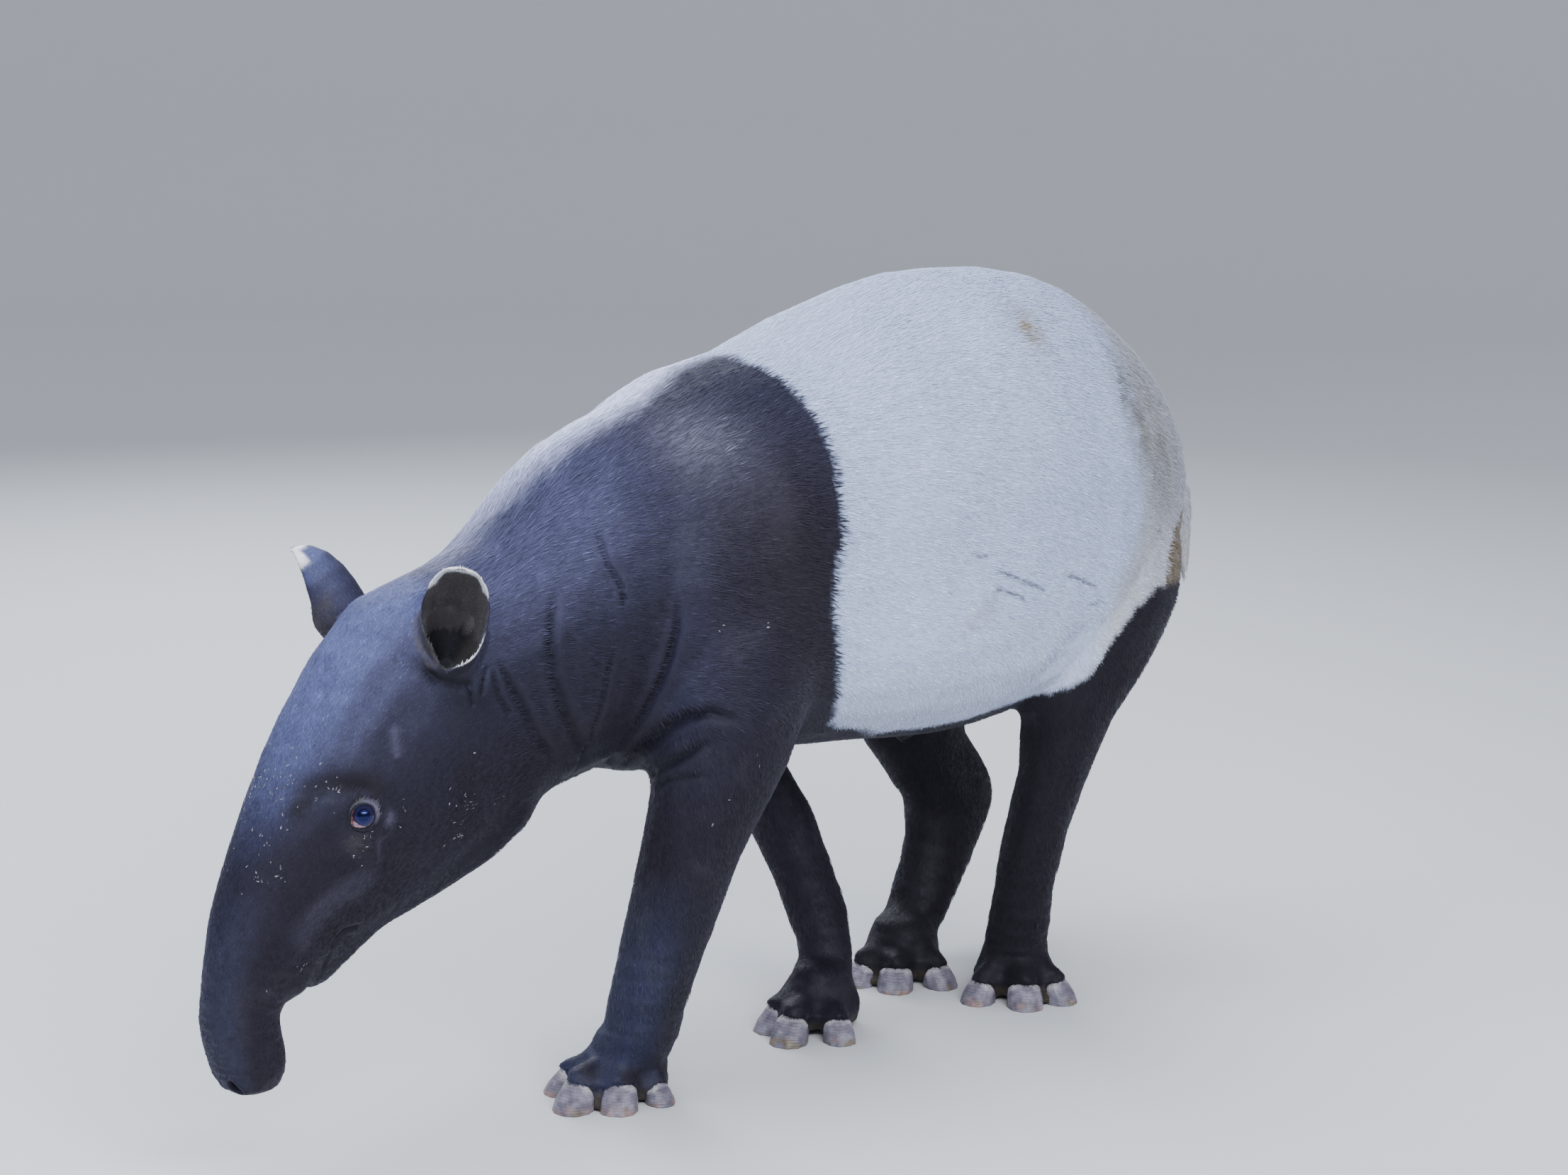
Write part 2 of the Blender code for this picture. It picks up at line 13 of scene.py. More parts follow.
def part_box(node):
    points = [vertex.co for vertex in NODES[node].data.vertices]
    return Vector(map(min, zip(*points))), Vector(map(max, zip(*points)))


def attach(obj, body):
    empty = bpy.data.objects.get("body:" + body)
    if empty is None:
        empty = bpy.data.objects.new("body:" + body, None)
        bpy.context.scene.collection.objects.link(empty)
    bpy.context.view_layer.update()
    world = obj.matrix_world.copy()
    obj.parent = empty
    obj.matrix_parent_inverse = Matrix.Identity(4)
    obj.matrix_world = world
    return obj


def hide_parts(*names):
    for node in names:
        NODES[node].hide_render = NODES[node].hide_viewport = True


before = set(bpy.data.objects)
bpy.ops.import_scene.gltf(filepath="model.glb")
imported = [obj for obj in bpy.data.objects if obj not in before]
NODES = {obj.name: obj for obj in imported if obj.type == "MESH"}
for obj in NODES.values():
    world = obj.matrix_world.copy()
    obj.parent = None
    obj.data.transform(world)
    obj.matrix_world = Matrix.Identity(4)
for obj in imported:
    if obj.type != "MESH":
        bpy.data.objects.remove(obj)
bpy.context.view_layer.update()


def rows(width, *numbers):
    """A table with so many columns."""
    return np.array(numbers, float).reshape(-1, width)


def mm(*numbers):
    """Points given in millimetres, in metres."""
    return rows(3, *numbers) / 1000


def rgb(*numbers):
    """A linear colour."""
    return np.array(numbers)


# The photo's camera: place, azimuth, elevation and roll in degrees, lens over sensor width.
CAMERA_PLACE = (-2.9698, -3.1598, 1.47)
CAMERA_TURNS = (-43.9, 10.8, 0.65)
IMAGE_WIDTH = 2212
FOCAL_PIXELS = 4700
SENSOR = 36.0

EARS = ("ear_left", "ear_right")
EYES = ("eye_left", "eye_right")
HOOVES = tuple(sorted(n for n in NODES if "hoof" in n))
FLESH = tuple(sorted(n for n in NODES if n not in EARS + EYES + HOOVES))

# How far each solid is pushed out so that neighbours overlap, and the size of the voxels.
OVERLAP = 0.0007
VOXEL = 0.006
# Rounds of smoothing: everywhere, on the snout, on the finer faces and at the ears' roots.
SMOOTH_ROUNDS = 42
SNOUT_ROUNDS = 200
FINE_ROUNDS = 6
ROOT_ROUNDS = 8

EYE_CENTRE = (sum(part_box("eye_left"), Vector()) / 2)[:]
EYE_RADIUS = (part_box("eye_left")[1].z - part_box("eye_left")[0].z) / 2

# The ears, as in the solids: root, directions of the length and of the opening, and length.
EAR_SHAPES = {
    "ear_left": ((-0.56, -0.076, 0.624), (-0.11, -0.35, 0.93), (-0.62, -0.6, -0.3), 0.136),
    "ear_right": ((-0.577, 0.066, 0.632), (-0.34, 0.54, 0.76), (-0.45, 0.6, -0.55), 0.146),
}
# Along an ear: share of its length, half width, and half angle of its curl in degrees.
EAR_TABLE = rows(3,
    0.0, 0.025, 176,  0.15, 0.029, 174,  0.17, 0.03, 160,  0.19, 0.031, 146,  0.22, 0.033, 132,
    0.27, 0.035, 121,  0.35, 0.037, 111,  0.48, 0.039, 99,  0.64, 0.039, 88,  0.8, 0.034, 74,
    0.93, 0.023, 60,  1.0, 0.01, 45,
)
# The front edge's further curl inwards: degrees, where along the ear and over how far.
FRONT_FOLD = 34
FRONT_FOLD_PLACE = 0.3
FRONT_FOLD_REACH = 0.14
# The share of an ear's length below which it is a closed tube.
CLOSED_SHARE = 0.17
# The thickness of an ear's wall, its rows and columns of faces, and the depth of its hollow.
EAR_WALL = 0.0036
EAR_ROWS = 44
EAR_COLUMNS = 30
EAR_HOLLOW = 0.042

# The middle line of the body from the nose to the tail: x, z.
SPINE = rows(2,
    -0.795, 0.125,  -0.805, 0.18,  -0.8, 0.25,  -0.755, 0.33,  -0.68, 0.43,  -0.59, 0.53,
    -0.48, 0.61,  -0.34, 0.65,  -0.15, 0.68,  0.2, 0.705,  0.6, 0.715,  0.78, 0.705,
    0.835, 0.66,  0.85, 0.56,
)

# The height that the angles of the saddle's front edge turn about.
SADDLE_MIDDLE = 0.65
# The saddle's front edge: degrees down from the top, x.
SADDLE_FRONT = rows(2,
    0, -0.036,  10, -0.042,  20, -0.033,  35, -0.036,  46, -0.037,  55, -0.044,  67, -0.051,
    79, -0.063,  89, -0.067,  100, -0.054,  117, -0.03,  133, -0.007,  180, 0.01,
)
# Its lower edge: x, height.
SADDLE_LOW = rows(2,
    -0.035, 0.496,  0.126, 0.447,  0.234, 0.441,  0.307, 0.456,  0.419, 0.466,  0.46, 0.492,
    0.488, 0.541,  0.526, 0.581,  0.572, 0.606,  0.634, 0.604,  0.86, 0.6,
)
# The tail's middle line, and its reach at the root and at the tip.
TAIL_LINE = mm(824, -37, 705,  842, -41, 665,  847, -46, 625,  846, -51, 590,  844, -56, 556)
TAIL_REACH = (0.034, 0.013)


def unit(v):
    """Rows of v at length 1."""
    return v / np.maximum(np.linalg.norm(v, axis=-1, keepdims=True), 1e-12)


def step(low, high, x):
    """0 below low, 1 above high and smooth in between."""
    t = np.clip((x - low) / (high - low), 0, 1)
    return t * t * (3 - 2 * t)


def lattice(cells, seed):
    """A number from -1 to 1 for each cell, the same each time."""
    h = cells[:, 0] * 73856093 ^ cells[:, 1] * 19349663 ^ cells[:, 2] * 83492791 ^ seed * 2654435761
    h = (h ^ (h >> 13)) * 1274126177
    return ((h ^ (h >> 16)) & 0xFFFF) / 32767.5 - 1


def noise(points, cell, seed):
    """Smooth noise from -1 to 1 with features about one cell across."""
    q = points / cell
    low = np.floor(q).astype(np.int64)
    f = q - low
    f = f * f * (3 - 2 * f)
    total = 0
    for corner in range(8):
        offset = np.array([corner & 1, corner >> 1 & 1, corner >> 2 & 1])
        share = np.prod(np.where(offset, f, 1 - f), axis=1)
        total = total + share * lattice(low + offset, seed)
    return total


def bell(x, middle, reach):
    """1 at a middle, falling to 0 about two reaches away."""
    return np.exp(-(((x - middle) / reach) ** 2))


def blob(points, centre, reach):
    """The same round a centre in space."""
    return np.exp(-(((points - centre) / reach) ** 2).sum(1))


def away_from(points, line):
    """Distance from each point to a polyline, and the share along it."""
    best = np.full(len(points), 1e9)
    along = np.zeros(len(points))
    lengths = np.linalg.norm(np.diff(line, axis=0), axis=1)
    total, done = lengths.sum(), 0.0
    for a, b, length in zip(line, line[1:], lengths):
        t = np.clip((points - a) @ (b - a) / length**2, 0, 1)
        d = np.linalg.norm(points - a - t[:, None] * (b - a), axis=1)
        nearer = d < best
        best = np.where(nearer, d, best)
        along = np.where(nearer, (done + t * length) / total, along)
        done += length
    return best, along


def beside(points, line, reach):
    """1 on a line, falling to 0 about two reaches away."""
    return bell(away_from(points, line)[0], 0, reach)


def mirrored(points):
    """The same points with the right side laid over the left."""
    return points * (1, 0, 1) - np.abs(points) * (0, 1, 0)


def add_camera():
    azimuth, elevation, roll = (radians(a) for a in CAMERA_TURNS)
    back = Vector((sin(azimuth) * cos(elevation), -cos(azimuth) * cos(elevation), sin(elevation)))
    across = Vector((cos(azimuth), sin(azimuth), 0))
    lift = back.cross(across)
    right = across * cos(roll) + lift * sin(roll)
    up = lift * cos(roll) - across * sin(roll)
    data = bpy.data.cameras.new("camera")
    data.sensor_width = SENSOR
    data.lens = FOCAL_PIXELS / IMAGE_WIDTH * SENSOR
    data.clip_end = 60
    camera = new_object("camera", data)
    turn = Matrix((right, up, back)).transposed().to_4x4()
    camera.matrix_world = Matrix.Translation(CAMERA_PLACE) @ turn
    bpy.context.scene.camera = camera


def new_object(name, data):
    obj = bpy.data.objects.new(name, data)
    bpy.context.scene.collection.objects.link(obj)
    return obj


def mesh_of(name, points, faces):
    mesh = bpy.data.meshes.new(name)
    mesh.from_pydata(np.asarray(points).tolist(), [], np.asarray(faces).tolist())
    mesh.update()
    return mesh


def read(things, name, width, kind=np.float32):
    """One property of some vertices, edges or faces, a row for each."""
    values = np.empty(len(things) * width, kind)
    things.foreach_get(name, values)
    return values.reshape(-1, width).astype(float if kind is np.float32 else kind)


def write(things, name, values, kind=np.float32):
    things.foreach_set(name, values.astype(kind).ravel())


def points_of(mesh):
    return read(mesh.vertices, "co", 3)


def normals_of(mesh):
    return read(mesh.vertex_normals, "vector", 3)


def edges_of(mesh):
    return read(mesh.edges, "vertices", 2, np.int32)


def triangles_of(mesh):
    mesh.calc_loop_triangles()
    return read(mesh.loop_triangles, "vertices", 3, np.int32)


@contextmanager
def opened(mesh):
    """A mesh opened for editing and written back afterwards."""
    bm = bmesh.new()
    bm.from_mesh(mesh)
    yield bm
    bm.to_mesh(mesh)
    bm.free()


def set_points(mesh, points):
    write(mesh.vertices, "co", points)
    mesh.update()


def smoothed(points, edges, rounds, weight=None, factor=0.6, unshrink=0.61):
    """Even out points along edges, each round followed by one that undoes the shrinking."""
    if weight is None:
        weight = 1.0
    else:
        edges = edges[(weight[edges] > 0).any(1)]
        weight = weight[:, None]
    count = np.bincount(edges.ravel(), minlength=len(points)).astype(float)
    count = np.maximum(count, 1)[:, None]
    a, b = edges[:, 0], edges[:, 1]
    for _ in range(rounds):
        for f in (factor, -unshrink):
            total = np.empty_like(points)
            for k in range(3):
                total[:, k] = np.bincount(a, points[b, k], len(points))
                total[:, k] += np.bincount(b, points[a, k], len(points))
            points = points + (total / count - points) * f * weight
    return points


def evaluated_mesh(obj):
    graph = bpy.context.evaluated_depsgraph_get()
    return bpy.data.meshes.new_from_object(obj.evaluated_get(graph))


def voxel_joined(name, nodes, push, voxel):
    """One closed mesh round several solids, each first pushed out a little."""
    joined = bmesh.new()
    for node in nodes:
        part = bmesh.new()
        part.from_mesh(NODES[node].data)
        bmesh.ops.remove_doubles(part, verts=part.verts, dist=1e-6)
        if node in HOOVES:
            raised = raised_hoof(node, np.array([v.co[:] for v in part.verts]))
            for vert, place in zip(part.verts, raised):
                vert.co = place
        part.normal_update()
        shifts = [v.normal * push for v in part.verts]
        for vert, shift in zip(part.verts, shifts):
            vert.co += shift
        mesh = bpy.data.meshes.new("part")
        part.to_mesh(mesh)
        part.free()
        joined.from_mesh(mesh)
        bpy.data.meshes.remove(mesh)
    mesh = bpy.data.meshes.new(name)
    joined.to_mesh(mesh)
    joined.free()
    obj = new_object(name, mesh)
    remesh = obj.modifiers.new("join", "REMESH")
    remesh.mode = "VOXEL"
    remesh.voxel_size = voxel
    result = evaluated_mesh(obj)
    bpy.data.objects.remove(obj)
    return result


def largest_part(mesh):
    """Drop every body of a mesh but its largest."""
    edges = edges_of(mesh)
    label = np.arange(len(mesh.vertices))
    while True:
        low = np.minimum(label[edges[:, 0]], label[edges[:, 1]])
        new = label.copy()
        np.minimum.at(new, edges[:, 0], low)
        np.minimum.at(new, edges[:, 1], low)
        new = new[new]
        if (new == label).all():
            break
        label = new
    keep = label == np.bincount(label).argmax()
    if keep.all():
        return
    with opened(mesh) as bm:
        bm.verts.ensure_lookup_table()
        bmesh.ops.delete(bm, geom=[bm.verts[i] for i in np.flatnonzero(~keep)], context="VERTS")


# Parts of the skin that get finer faces.
def near_head(p):
    x, y, z = p.T
    return (x < -0.5 - (z - 0.55) * 0.4) & (z > 0.05) & (np.abs(y) < 0.2)


def near_feet(p):
    return p[:, 2] < 0.115


def box_of(name):
    return (np.array(c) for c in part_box(name))


def near_coronets(p):
    near = np.zeros(len(p), bool)
    for name in HOOVES:
        low, high = box_of(name)
        near |= ((p > low - CORONET_MARGIN) & (p < high + CORONET_MARGIN)).all(1)
    return near & (p[:, 2] > 0.018)


def near_folds(p, reach):
    """Near the sharp folds of the neck and the shoulder."""
    near = np.zeros(len(p), bool)
    for line, wide, _ in FOLDS:
        if wide < 0.0075:
            near |= away_from(p, line)[0] < reach
    return near & (p[:, 0] < -0.1)


def near_tail(p):
    """1 round the tail, on both sides."""
    x, _, z = p.T
    behind = step(0.795, 0.815, x)
    return behind * step(0.52, 0.55, z) * step(0.76, 0.72, z)


def near_chin(p):
    return blob(p, (-0.72, 0.0, 0.265), (0.045, 0.06, 0.025))


def near_eye(p, reach):
    return np.linalg.norm(p - EYE_CENTRE, axis=1) < reach


NOSTRIL = (-0.838, -0.017, 0.142)
MOUTH_LINE = mm(-722, -18, 262,  -715, -38, 283,  -714, -52, 306,  -700, -57, 321,  -674, -56, 324)


def near_fine_lines(p):
    """Near the mouth, the nostril and the bottoms of the sharp folds."""
    mouth = away_from(p, MOUTH_LINE)[0] < 0.022
    nostril = np.linalg.norm(p - NOSTRIL, axis=1) < 0.024
    return mouth | nostril | near_folds(p, 0.006)


# What each round of splitting makes finer.
FINER = (
    lambda p, left: near_head(p) | near_feet(p) | near_folds(left, 0.014) | (near_tail(p) > 0.5),
    lambda p, left: near_eye(left, 0.042) | near_fine_lines(left) | near_coronets(p),
    lambda p, left: near_eye(left, 0.027),
    lambda p, left: near_eye(left, 0.0205),
)


def refine(mesh, wanted):
    """Split the faces whose middles are wanted."""
    centres = read(mesh.polygons, "center", 3)
    chosen = wanted(centres, mirrored(centres))
    with opened(mesh) as bm:
        bm.faces.ensure_lookup_table()
        edges = {e for i in np.flatnonzero(chosen) for e in bm.faces[i].edges}
        bmesh.ops.subdivide_edges(bm, edges=list(edges), cuts=1, use_grid_fill=True)


def triangulated(mesh):
    with opened(mesh) as bm:
        bmesh.ops.triangulate(bm, faces=bm.faces)


def ear_frame(name):
    root, axis, opening, length = EAR_SHAPES[name]
    axis = unit(np.array(axis))
    opening = np.array(opening)
    opening = unit(opening - axis * (opening @ axis))
    return np.array(root), axis, opening, np.cross(axis, opening), length


def ear_profile(share):
    """Half width and half angle of the curl at a share of the length, evened out."""
    width, curl = 0, 0
    offsets = np.linspace(-0.02, 0.02, 5)
    for offset in offsets:
        s = np.clip(share + offset * np.minimum(1, (1 - share) * 10), 0, 1)
        width = width + np.interp(s, EAR_TABLE[:, 0], EAR_TABLE[:, 1]) / len(offsets)
        curl = curl + np.interp(s, EAR_TABLE[:, 0], EAR_TABLE[:, 2]) / len(offsets)
    return width, np.radians(curl)


def front_fold(share):
    """How much further the front edge curls in at a share of the length."""
    return radians(FRONT_FOLD) * bell(share, FRONT_FOLD_PLACE, FRONT_FOLD_REACH) * (share > CLOSED_SHARE)


def front_side(name):
    """The sign of the angles towards an ear's front edge."""
    return -1 if name == "ear_left" else 1


def ear_place(p, name):
    """Points on an ear: share along it, angle, height off its wall and the nearer edge's angle."""
    root, axis, opening, across, length = ear_frame(name)
    rel = p - root
    share = rel @ axis / length
    width, curl = ear_profile(np.clip(share, 0, 1))
    radius = width / np.where(curl < pi / 2, np.sin(curl), 1)
    x, y = rel @ across, rel @ opening - (radius - width)
    angle = np.arctan2(x, -y)
    edge = np.minimum(curl + front_fold(share) * (angle * front_side(name) > 0), pi)
    return share, angle, np.hypot(x, y) - radius, edge


def ear_mesh(name):
    """A curled leaf with a rounded rim, folds inside and a root that runs into the head."""
    root, axis, opening, across, length = ear_frame(name)
    points, faces = [], []
    ring = 2 * (EAR_COLUMNS + 1)
    shares = 1 - (1 - np.linspace(0, 1, EAR_ROWS)) ** 1.15
    for share in shares:
        width, curl = ear_profile(share)
        if share > 0.985:
            width = width * 0.72
        radius = width / (sin(curl) if curl < pi / 2 else 1.0)
        for side in (1, -1):
            t = np.linspace(-1, 1, EAR_COLUMNS + 1)[::side]
            front = t * front_side(name) > 0
            a = np.minimum(curl + front_fold(share) * front, radians(176)) * t
            r_in = 0.0045 * front * np.abs(t) ** 6 * front_fold(share) / radians(FRONT_FOLD)
            half = EAR_WALL / 2 * (1 - 0.72 * np.abs(t) ** 6) * (1.25 - 0.5 * share)
            flare = 0.0022 * np.abs(t) ** 8 * (1 - share)
            fold = 0.0 if side > 0 else 0.001 * np.sin(a * 9) * bell(share, 0.35, 0.3)
            r = radius + side * half + flare - fold - r_in
            off = np.outer(r * np.sin(a), across) + np.outer(radius - width - r * np.cos(a), opening)
            points.extend(root + axis * (length * share) + off)
    for i in range(EAR_ROWS - 1):
        for k in range(ring):
            j = (k + 1) % ring
            a, b = i * ring, (i + 1) * ring
            faces.append((a + k, a + j, b + j, b + k))
    for row, turn in ((0, 1), (EAR_ROWS - 1, -1)):
        for k in range(EAR_COLUMNS):
            o = row * ring
            face = (o + k, o + ring - 1 - k, o + ring - 2 - k, o + k + 1)
            faces.append(face[::turn])
    mesh = mesh_of(name + "_shape", points, faces)
    with opened(mesh) as bm:
        bmesh.ops.recalc_face_normals(bm, faces=bm.faces)
        bmesh.ops.triangulate(bm, faces=bm.faces)
    return mesh


def ear_weight(p):
    """1 on the ears, 0 elsewhere."""
    weight = np.zeros(len(p))
    for name in EARS:
        share, _, height, _ = ear_place(p, name)
        on = step(0.02, 0.12, share) * step(1.12, 1.05, share)
        weight = np.maximum(weight, on * step(0.012, 0.006, np.abs(height)))
    return weight


def ear_root_weight(p):
    """1 where an ear leaves the head."""
    weight = np.zeros(len(p))
    for name in EARS:
        share, _, height, _ = ear_place(p, name)
        near = step(0.02, 0.008, np.abs(height))
        weight = np.maximum(weight, near * step(0.26, 0.12, share) * step(-0.2, -0.1, share))
    return weight


# Regions, each from 0 to 1.
def leg_weight(p):
    return step(0.6, 0.44, p[:, 2]) * step(-0.46, -0.4, p[:, 0])


def head_weight(p):
    return step(-0.47, -0.54, p[:, 0] + (p[:, 2] - 0.55) * 0.3)


def snout_weight(p):
    return step(0.36, 0.26, p[:, 2]) * step(-0.66, -0.72, p[:, 0])


def tail_weight(p):
    d, along = away_from(p, TAIL_LINE)
    return step(1.35, 1.1, d / np.interp(along, (0, 1), TAIL_REACH))


def coat_depth(p):
    """How far the skin lies inside the solids."""
    depth = 0.003 - 0.0012 * leg_weight(p) - 0.0014 * head_weight(p)
    depth = depth - 0.0006 * step(0.12, 0.07, p[:, 2])
    return np.maximum(depth, 0.0008)


# Lines of the folds on the left side.
CREST_CREASE = mm(
    -353, -104, 783,  -355, -123, 753,  -354, -132, 733,  -346, -140, 718,  -340, -145, 704,
    -339, -148, 675,
)
LONG_CREASE = mm(
    -351, -146, 645,  -359, -141, 604,  -361, -132, 563,  -363, -123, 533,  -364, -104, 497,
    -362, -88, 474,  -356, -60, 455,
)
REAR_CREASE = mm(
    -271, -168, 700,  -273, -169, 649,  -280, -162, 608,  -287, -148, 569,  -293, -134, 541,
    -297, -114, 512,  -300, -90, 486,  -285, -52, 452,  -275, -30, 440,
)
FRONT_CREASE = mm(
    -419, -109, 715,  -432, -121, 679,  -439, -129, 647,  -436, -131, 603,  -422, -129, 566,
    -397, -121, 531,  -369, -106, 499,  -352, -80, 468,
)
JAW_CREASE = mm(
    -512, -116, 628,  -496, -122, 601,  -481, -124, 573,  -462, -123, 544,  -445, -118, 521,
    -414, -105, 496,
)
LEG_ARC = mm(
    -205, -226, 528,  -229, -216, 536,  -247, -201, 543,  -264, -178, 539,  -272, -153, 524,
    -276, -133, 504,  -277, -103, 480,  -269, -72, 457,  -262, -45, 440,
)
LEG_ARC_LOW = mm(-240, -206, 508,  -255, -195, 503,  -272, -163, 481,  -273, -133, 460,  -262, -95, 445)
LEG_ARC_LAST = mm(-245, -203, 464,  -260, -185, 463,  -272, -154, 455,  -274, -131, 438)
EYE_BAG = mm(
    -659, -96, 466,  -656, -95, 451,  -665, -93, 441,  -675, -90, 432,  -675, -88, 414,  -668, -86, 402,
)
CHEEK_HOLLOW = mm(-672, -88, 409,  -708, -80, 399,  -743, -71, 378,  -772, -62, 349)
CHEEK_RIDGE = mm(
    -660, -81, 398,  -685, -81, 388,  -720, -75, 375,  -746, -68, 354,  -760, -63, 334,  -766, -55, 307,
)
BROW_HOLLOW = mm(-763, -53, 478,  -747, -59, 496,  -726, -71, 507,  -703, -82, 505,  -679, -92, 500)
TEMPLE_RIDGE = mm(-649, -89, 573,  -649, -93, 553,  -649, -98, 528)
EAR_BASE = mm(-609, -84, 639,  -590, -98, 619,  -571, -103, 612,  -546, -112, 606)
# Folds, or ridges where the depth is below 0: points, half width and depth.
FOLDS = [
    (CREST_CREASE, 0.0036, 0.0022),
    (LONG_CREASE, 0.0036, 0.0038),
    (REAR_CREASE, 0.0046, 0.0052),
    (FRONT_CREASE, 0.006, 0.0046),
    (JAW_CREASE, 0.005, 0.004),
    (LEG_ARC, 0.0062, 0.0078),
    (LEG_ARC_LOW, 0.005, 0.0046),
    (LEG_ARC_LAST, 0.0042, 0.0026),
    (mm(-188, -228, 501,  -130, -230, 561,  -87, -226, 600), 0.01, -0.0022),
    (EAR_BASE, 0.0055, 0.0032),
    (mm(-552, -108, 618,  -550, -111, 600,  -548, -113, 580), 0.003, 0.0024),
    (mm(-527, -112, 630,  -532, -114, 612,  -537, -114, 592), 0.003, 0.0026),
    (mm(-522, -115, 623,  -513, -119, 589,  -497, -121, 564), 0.0032, 0.0026),
    (mm(-513, -116, 634,  -505, -120, 615,  -495, -122, 592), 0.003, 0.002),
    (EYE_BAG, 0.003, 0.0018),
    (mm(-700, -84, 440,  -688, -88, 434,  -676, -90, 436), 0.002, 0.0014),
    (mm(-708, -82, 434,  -692, -87, 424,  -678, -89, 424), 0.0022, 0.0012),
    (CHEEK_HOLLOW, 0.015, 0.003),
    (CHEEK_RIDGE, 0.015, -0.0042),
    (BROW_HOLLOW, 0.013, 0.0042),
    (TEMPLE_RIDGE, 0.006, -0.0012),
    (MOUTH_LINE, 0.0034, 0.005),
    (mm(300, -190, 430,  380, -215, 500,  430, -225, 580), 0.024, 0.0036),
    (mm(350, -205, 480,  400, -225, 560), 0.012, 0.0018),
]
# How much a fold strays, as a share of its width, and the height of the rolls beside it.
FOLD_WOBBLE = 0.3
FOLD_ROLLS = 0.16
# The depth from which a fold is fully dark, and its shade's reach as a share of its width.
DARK_FOLD = 0.004
FOLD_SHADE = 1.4
# How close to a fold the hair gets short.
FOLD_CLEARING = 0.01
# Swellings and hollows on the left side: middle and reach in millimetres, and height.
FORMS = rows(7,
    -240, -200, 720, 60, 50, 110, 0.006,
    -170, -220, 620, 75, 50, 60, 0.005,
    -120, -230, 820, 30, 60, 130, 0.004,
    -690, -60, 520, 30, 40, 18, 0.003,
    -590, -110, 430, 50, 40, 50, 0.004,
    -725, -70, 440, 22, 30, 22, -0.003,
    -700, -84, 434, 16, 20, 10, 0.0018,
    -700, -60, 310, 16, 30, 14, -0.003,
    -757, -15, 262, 20, 40, 18, 0.013,
    -715, -15, 260, 26, 30, 16, 0.006,
    640, -170, 800, 80, 80, 70, 0.004,
    560, -200, 560, 90, 60, 80, 0.003,
    100, -250, 560, 160, 60, 70, 0.003,
    -815, -28, 150, 20, 18, 20, 0.0015,
    -835, -8, 142, 12, 7, 20, -0.001,
)


def fold_shapes(left):
    """At points of the left side: height of the folds, how much painted shade lies in one, and how close
    to one.
    """
    height, shade, close = np.zeros(len(left)), np.zeros(len(left)), np.zeros(len(left))
    for line, reach, depth in FOLDS:
        margin = max(5 * reach, 3 * FOLD_CLEARING)
        low, high = line.min(0) - margin, line.max(0) + margin
        near = np.flatnonzero(((left > low) & (left < high)).all(1))
        wobble = noise(left[near], 0.03, 5)[:, None] * reach * FOLD_WOBBLE
        d, along = away_from(left[near] + wobble, line)
        fade = step(-0.02, 0.28, along) * step(1.02, 0.86, along)
        core = bell(d, 0, reach)
        rolls = bell(d, 2.3 * reach, 1.3 * reach)
        height[near] -= depth * fade * (core - FOLD_ROLLS * rolls)
        if depth > 0 and reach < 0.01:
            dark = min(depth / DARK_FOLD, 1)
            shade[near] = np.maximum(shade[near], fade * bell(d, 0, FOLD_SHADE * reach) * dark)
            close[near] = np.maximum(close[near], fade * bell(d, 0, FOLD_CLEARING) * dark)
    return height, shade, close


def creased(p):
    """Height of the folds, swellings and small unevenness of the skin."""
    x, _, z = p.T
    left = mirrored(p)
    height, _, _ = fold_shapes(left)
    for form in FORMS:
        height += form[6] * blob(left, form[:3] / 1000, form[3:6] / 1000)
    legs = leg_weight(p)
    low = step(0.34, 0.14, z)
    rings = noise(p * (0.6, 0.6, 2.6), 0.022, 11)
    height += rings * 0.0011 * legs * low
    height += noise(p * (1, 1, 2.0), 0.05, 12) * 0.0012 * legs
    wrinkles = noise(p * (1.0, 1.0, 3.2), 0.016, 15)
    height += wrinkles * 0.0007 * snout_weight(p)
    height += noise(p, 0.018, 13) * 0.0005 * head_weight(p)
    height += noise(p, 0.11, 14) * 0.002 * (1 - legs) * (1 - head_weight(p))
    neck = step(-0.5, -0.42, x) * step(-0.22, -0.28, x)
    pleats = noise(p * (2.6, 1.0, 0.45), 0.045, 16)
    height += pleats * 0.0007 * neck * step(0.78, 0.66, z)
    return height


# Round the left eye, from the tail's side over the top: degrees, reach of the opening and of the ball.
LID_TABLE = rows(3,
    0, 0.0128, 0.013,  45, 0.0132, 0.0136,  90, 0.0122, 0.0126,  135, 0.0126, 0.0122,
    180, 0.014, 0.0134,  200, 0.0156, 0.0118,  222, 0.0174, 0.0106,  250, 0.0152, 0.0106,
    280, 0.0142, 0.0114,  315, 0.0136, 0.013,  360, 0.0128, 0.013,
)
# Directions out of the left eye, up over it and along it towards the tail.
EYE_OUT = unit(np.array([-0.52, -0.83, 0.2]))
EYE_UP = unit(np.array([0, 0, 1]) - EYE_OUT * EYE_OUT[2])
EYE_ALONG = np.cross(EYE_UP, EYE_OUT)
# The lids: height of their edge over the ball, further thickness, and reach.
LID_EDGE = 0.0012
LID_THICKNESS = 0.002
LID_REACH = 0.034
# How far the skin lies under the ball, the flesh over it, and the middle of the corner's knob.
BALL_GAP = 0.003
FLESH_RISE = 0.0005
CARUNCLE = (-0.0098, -0.0082)


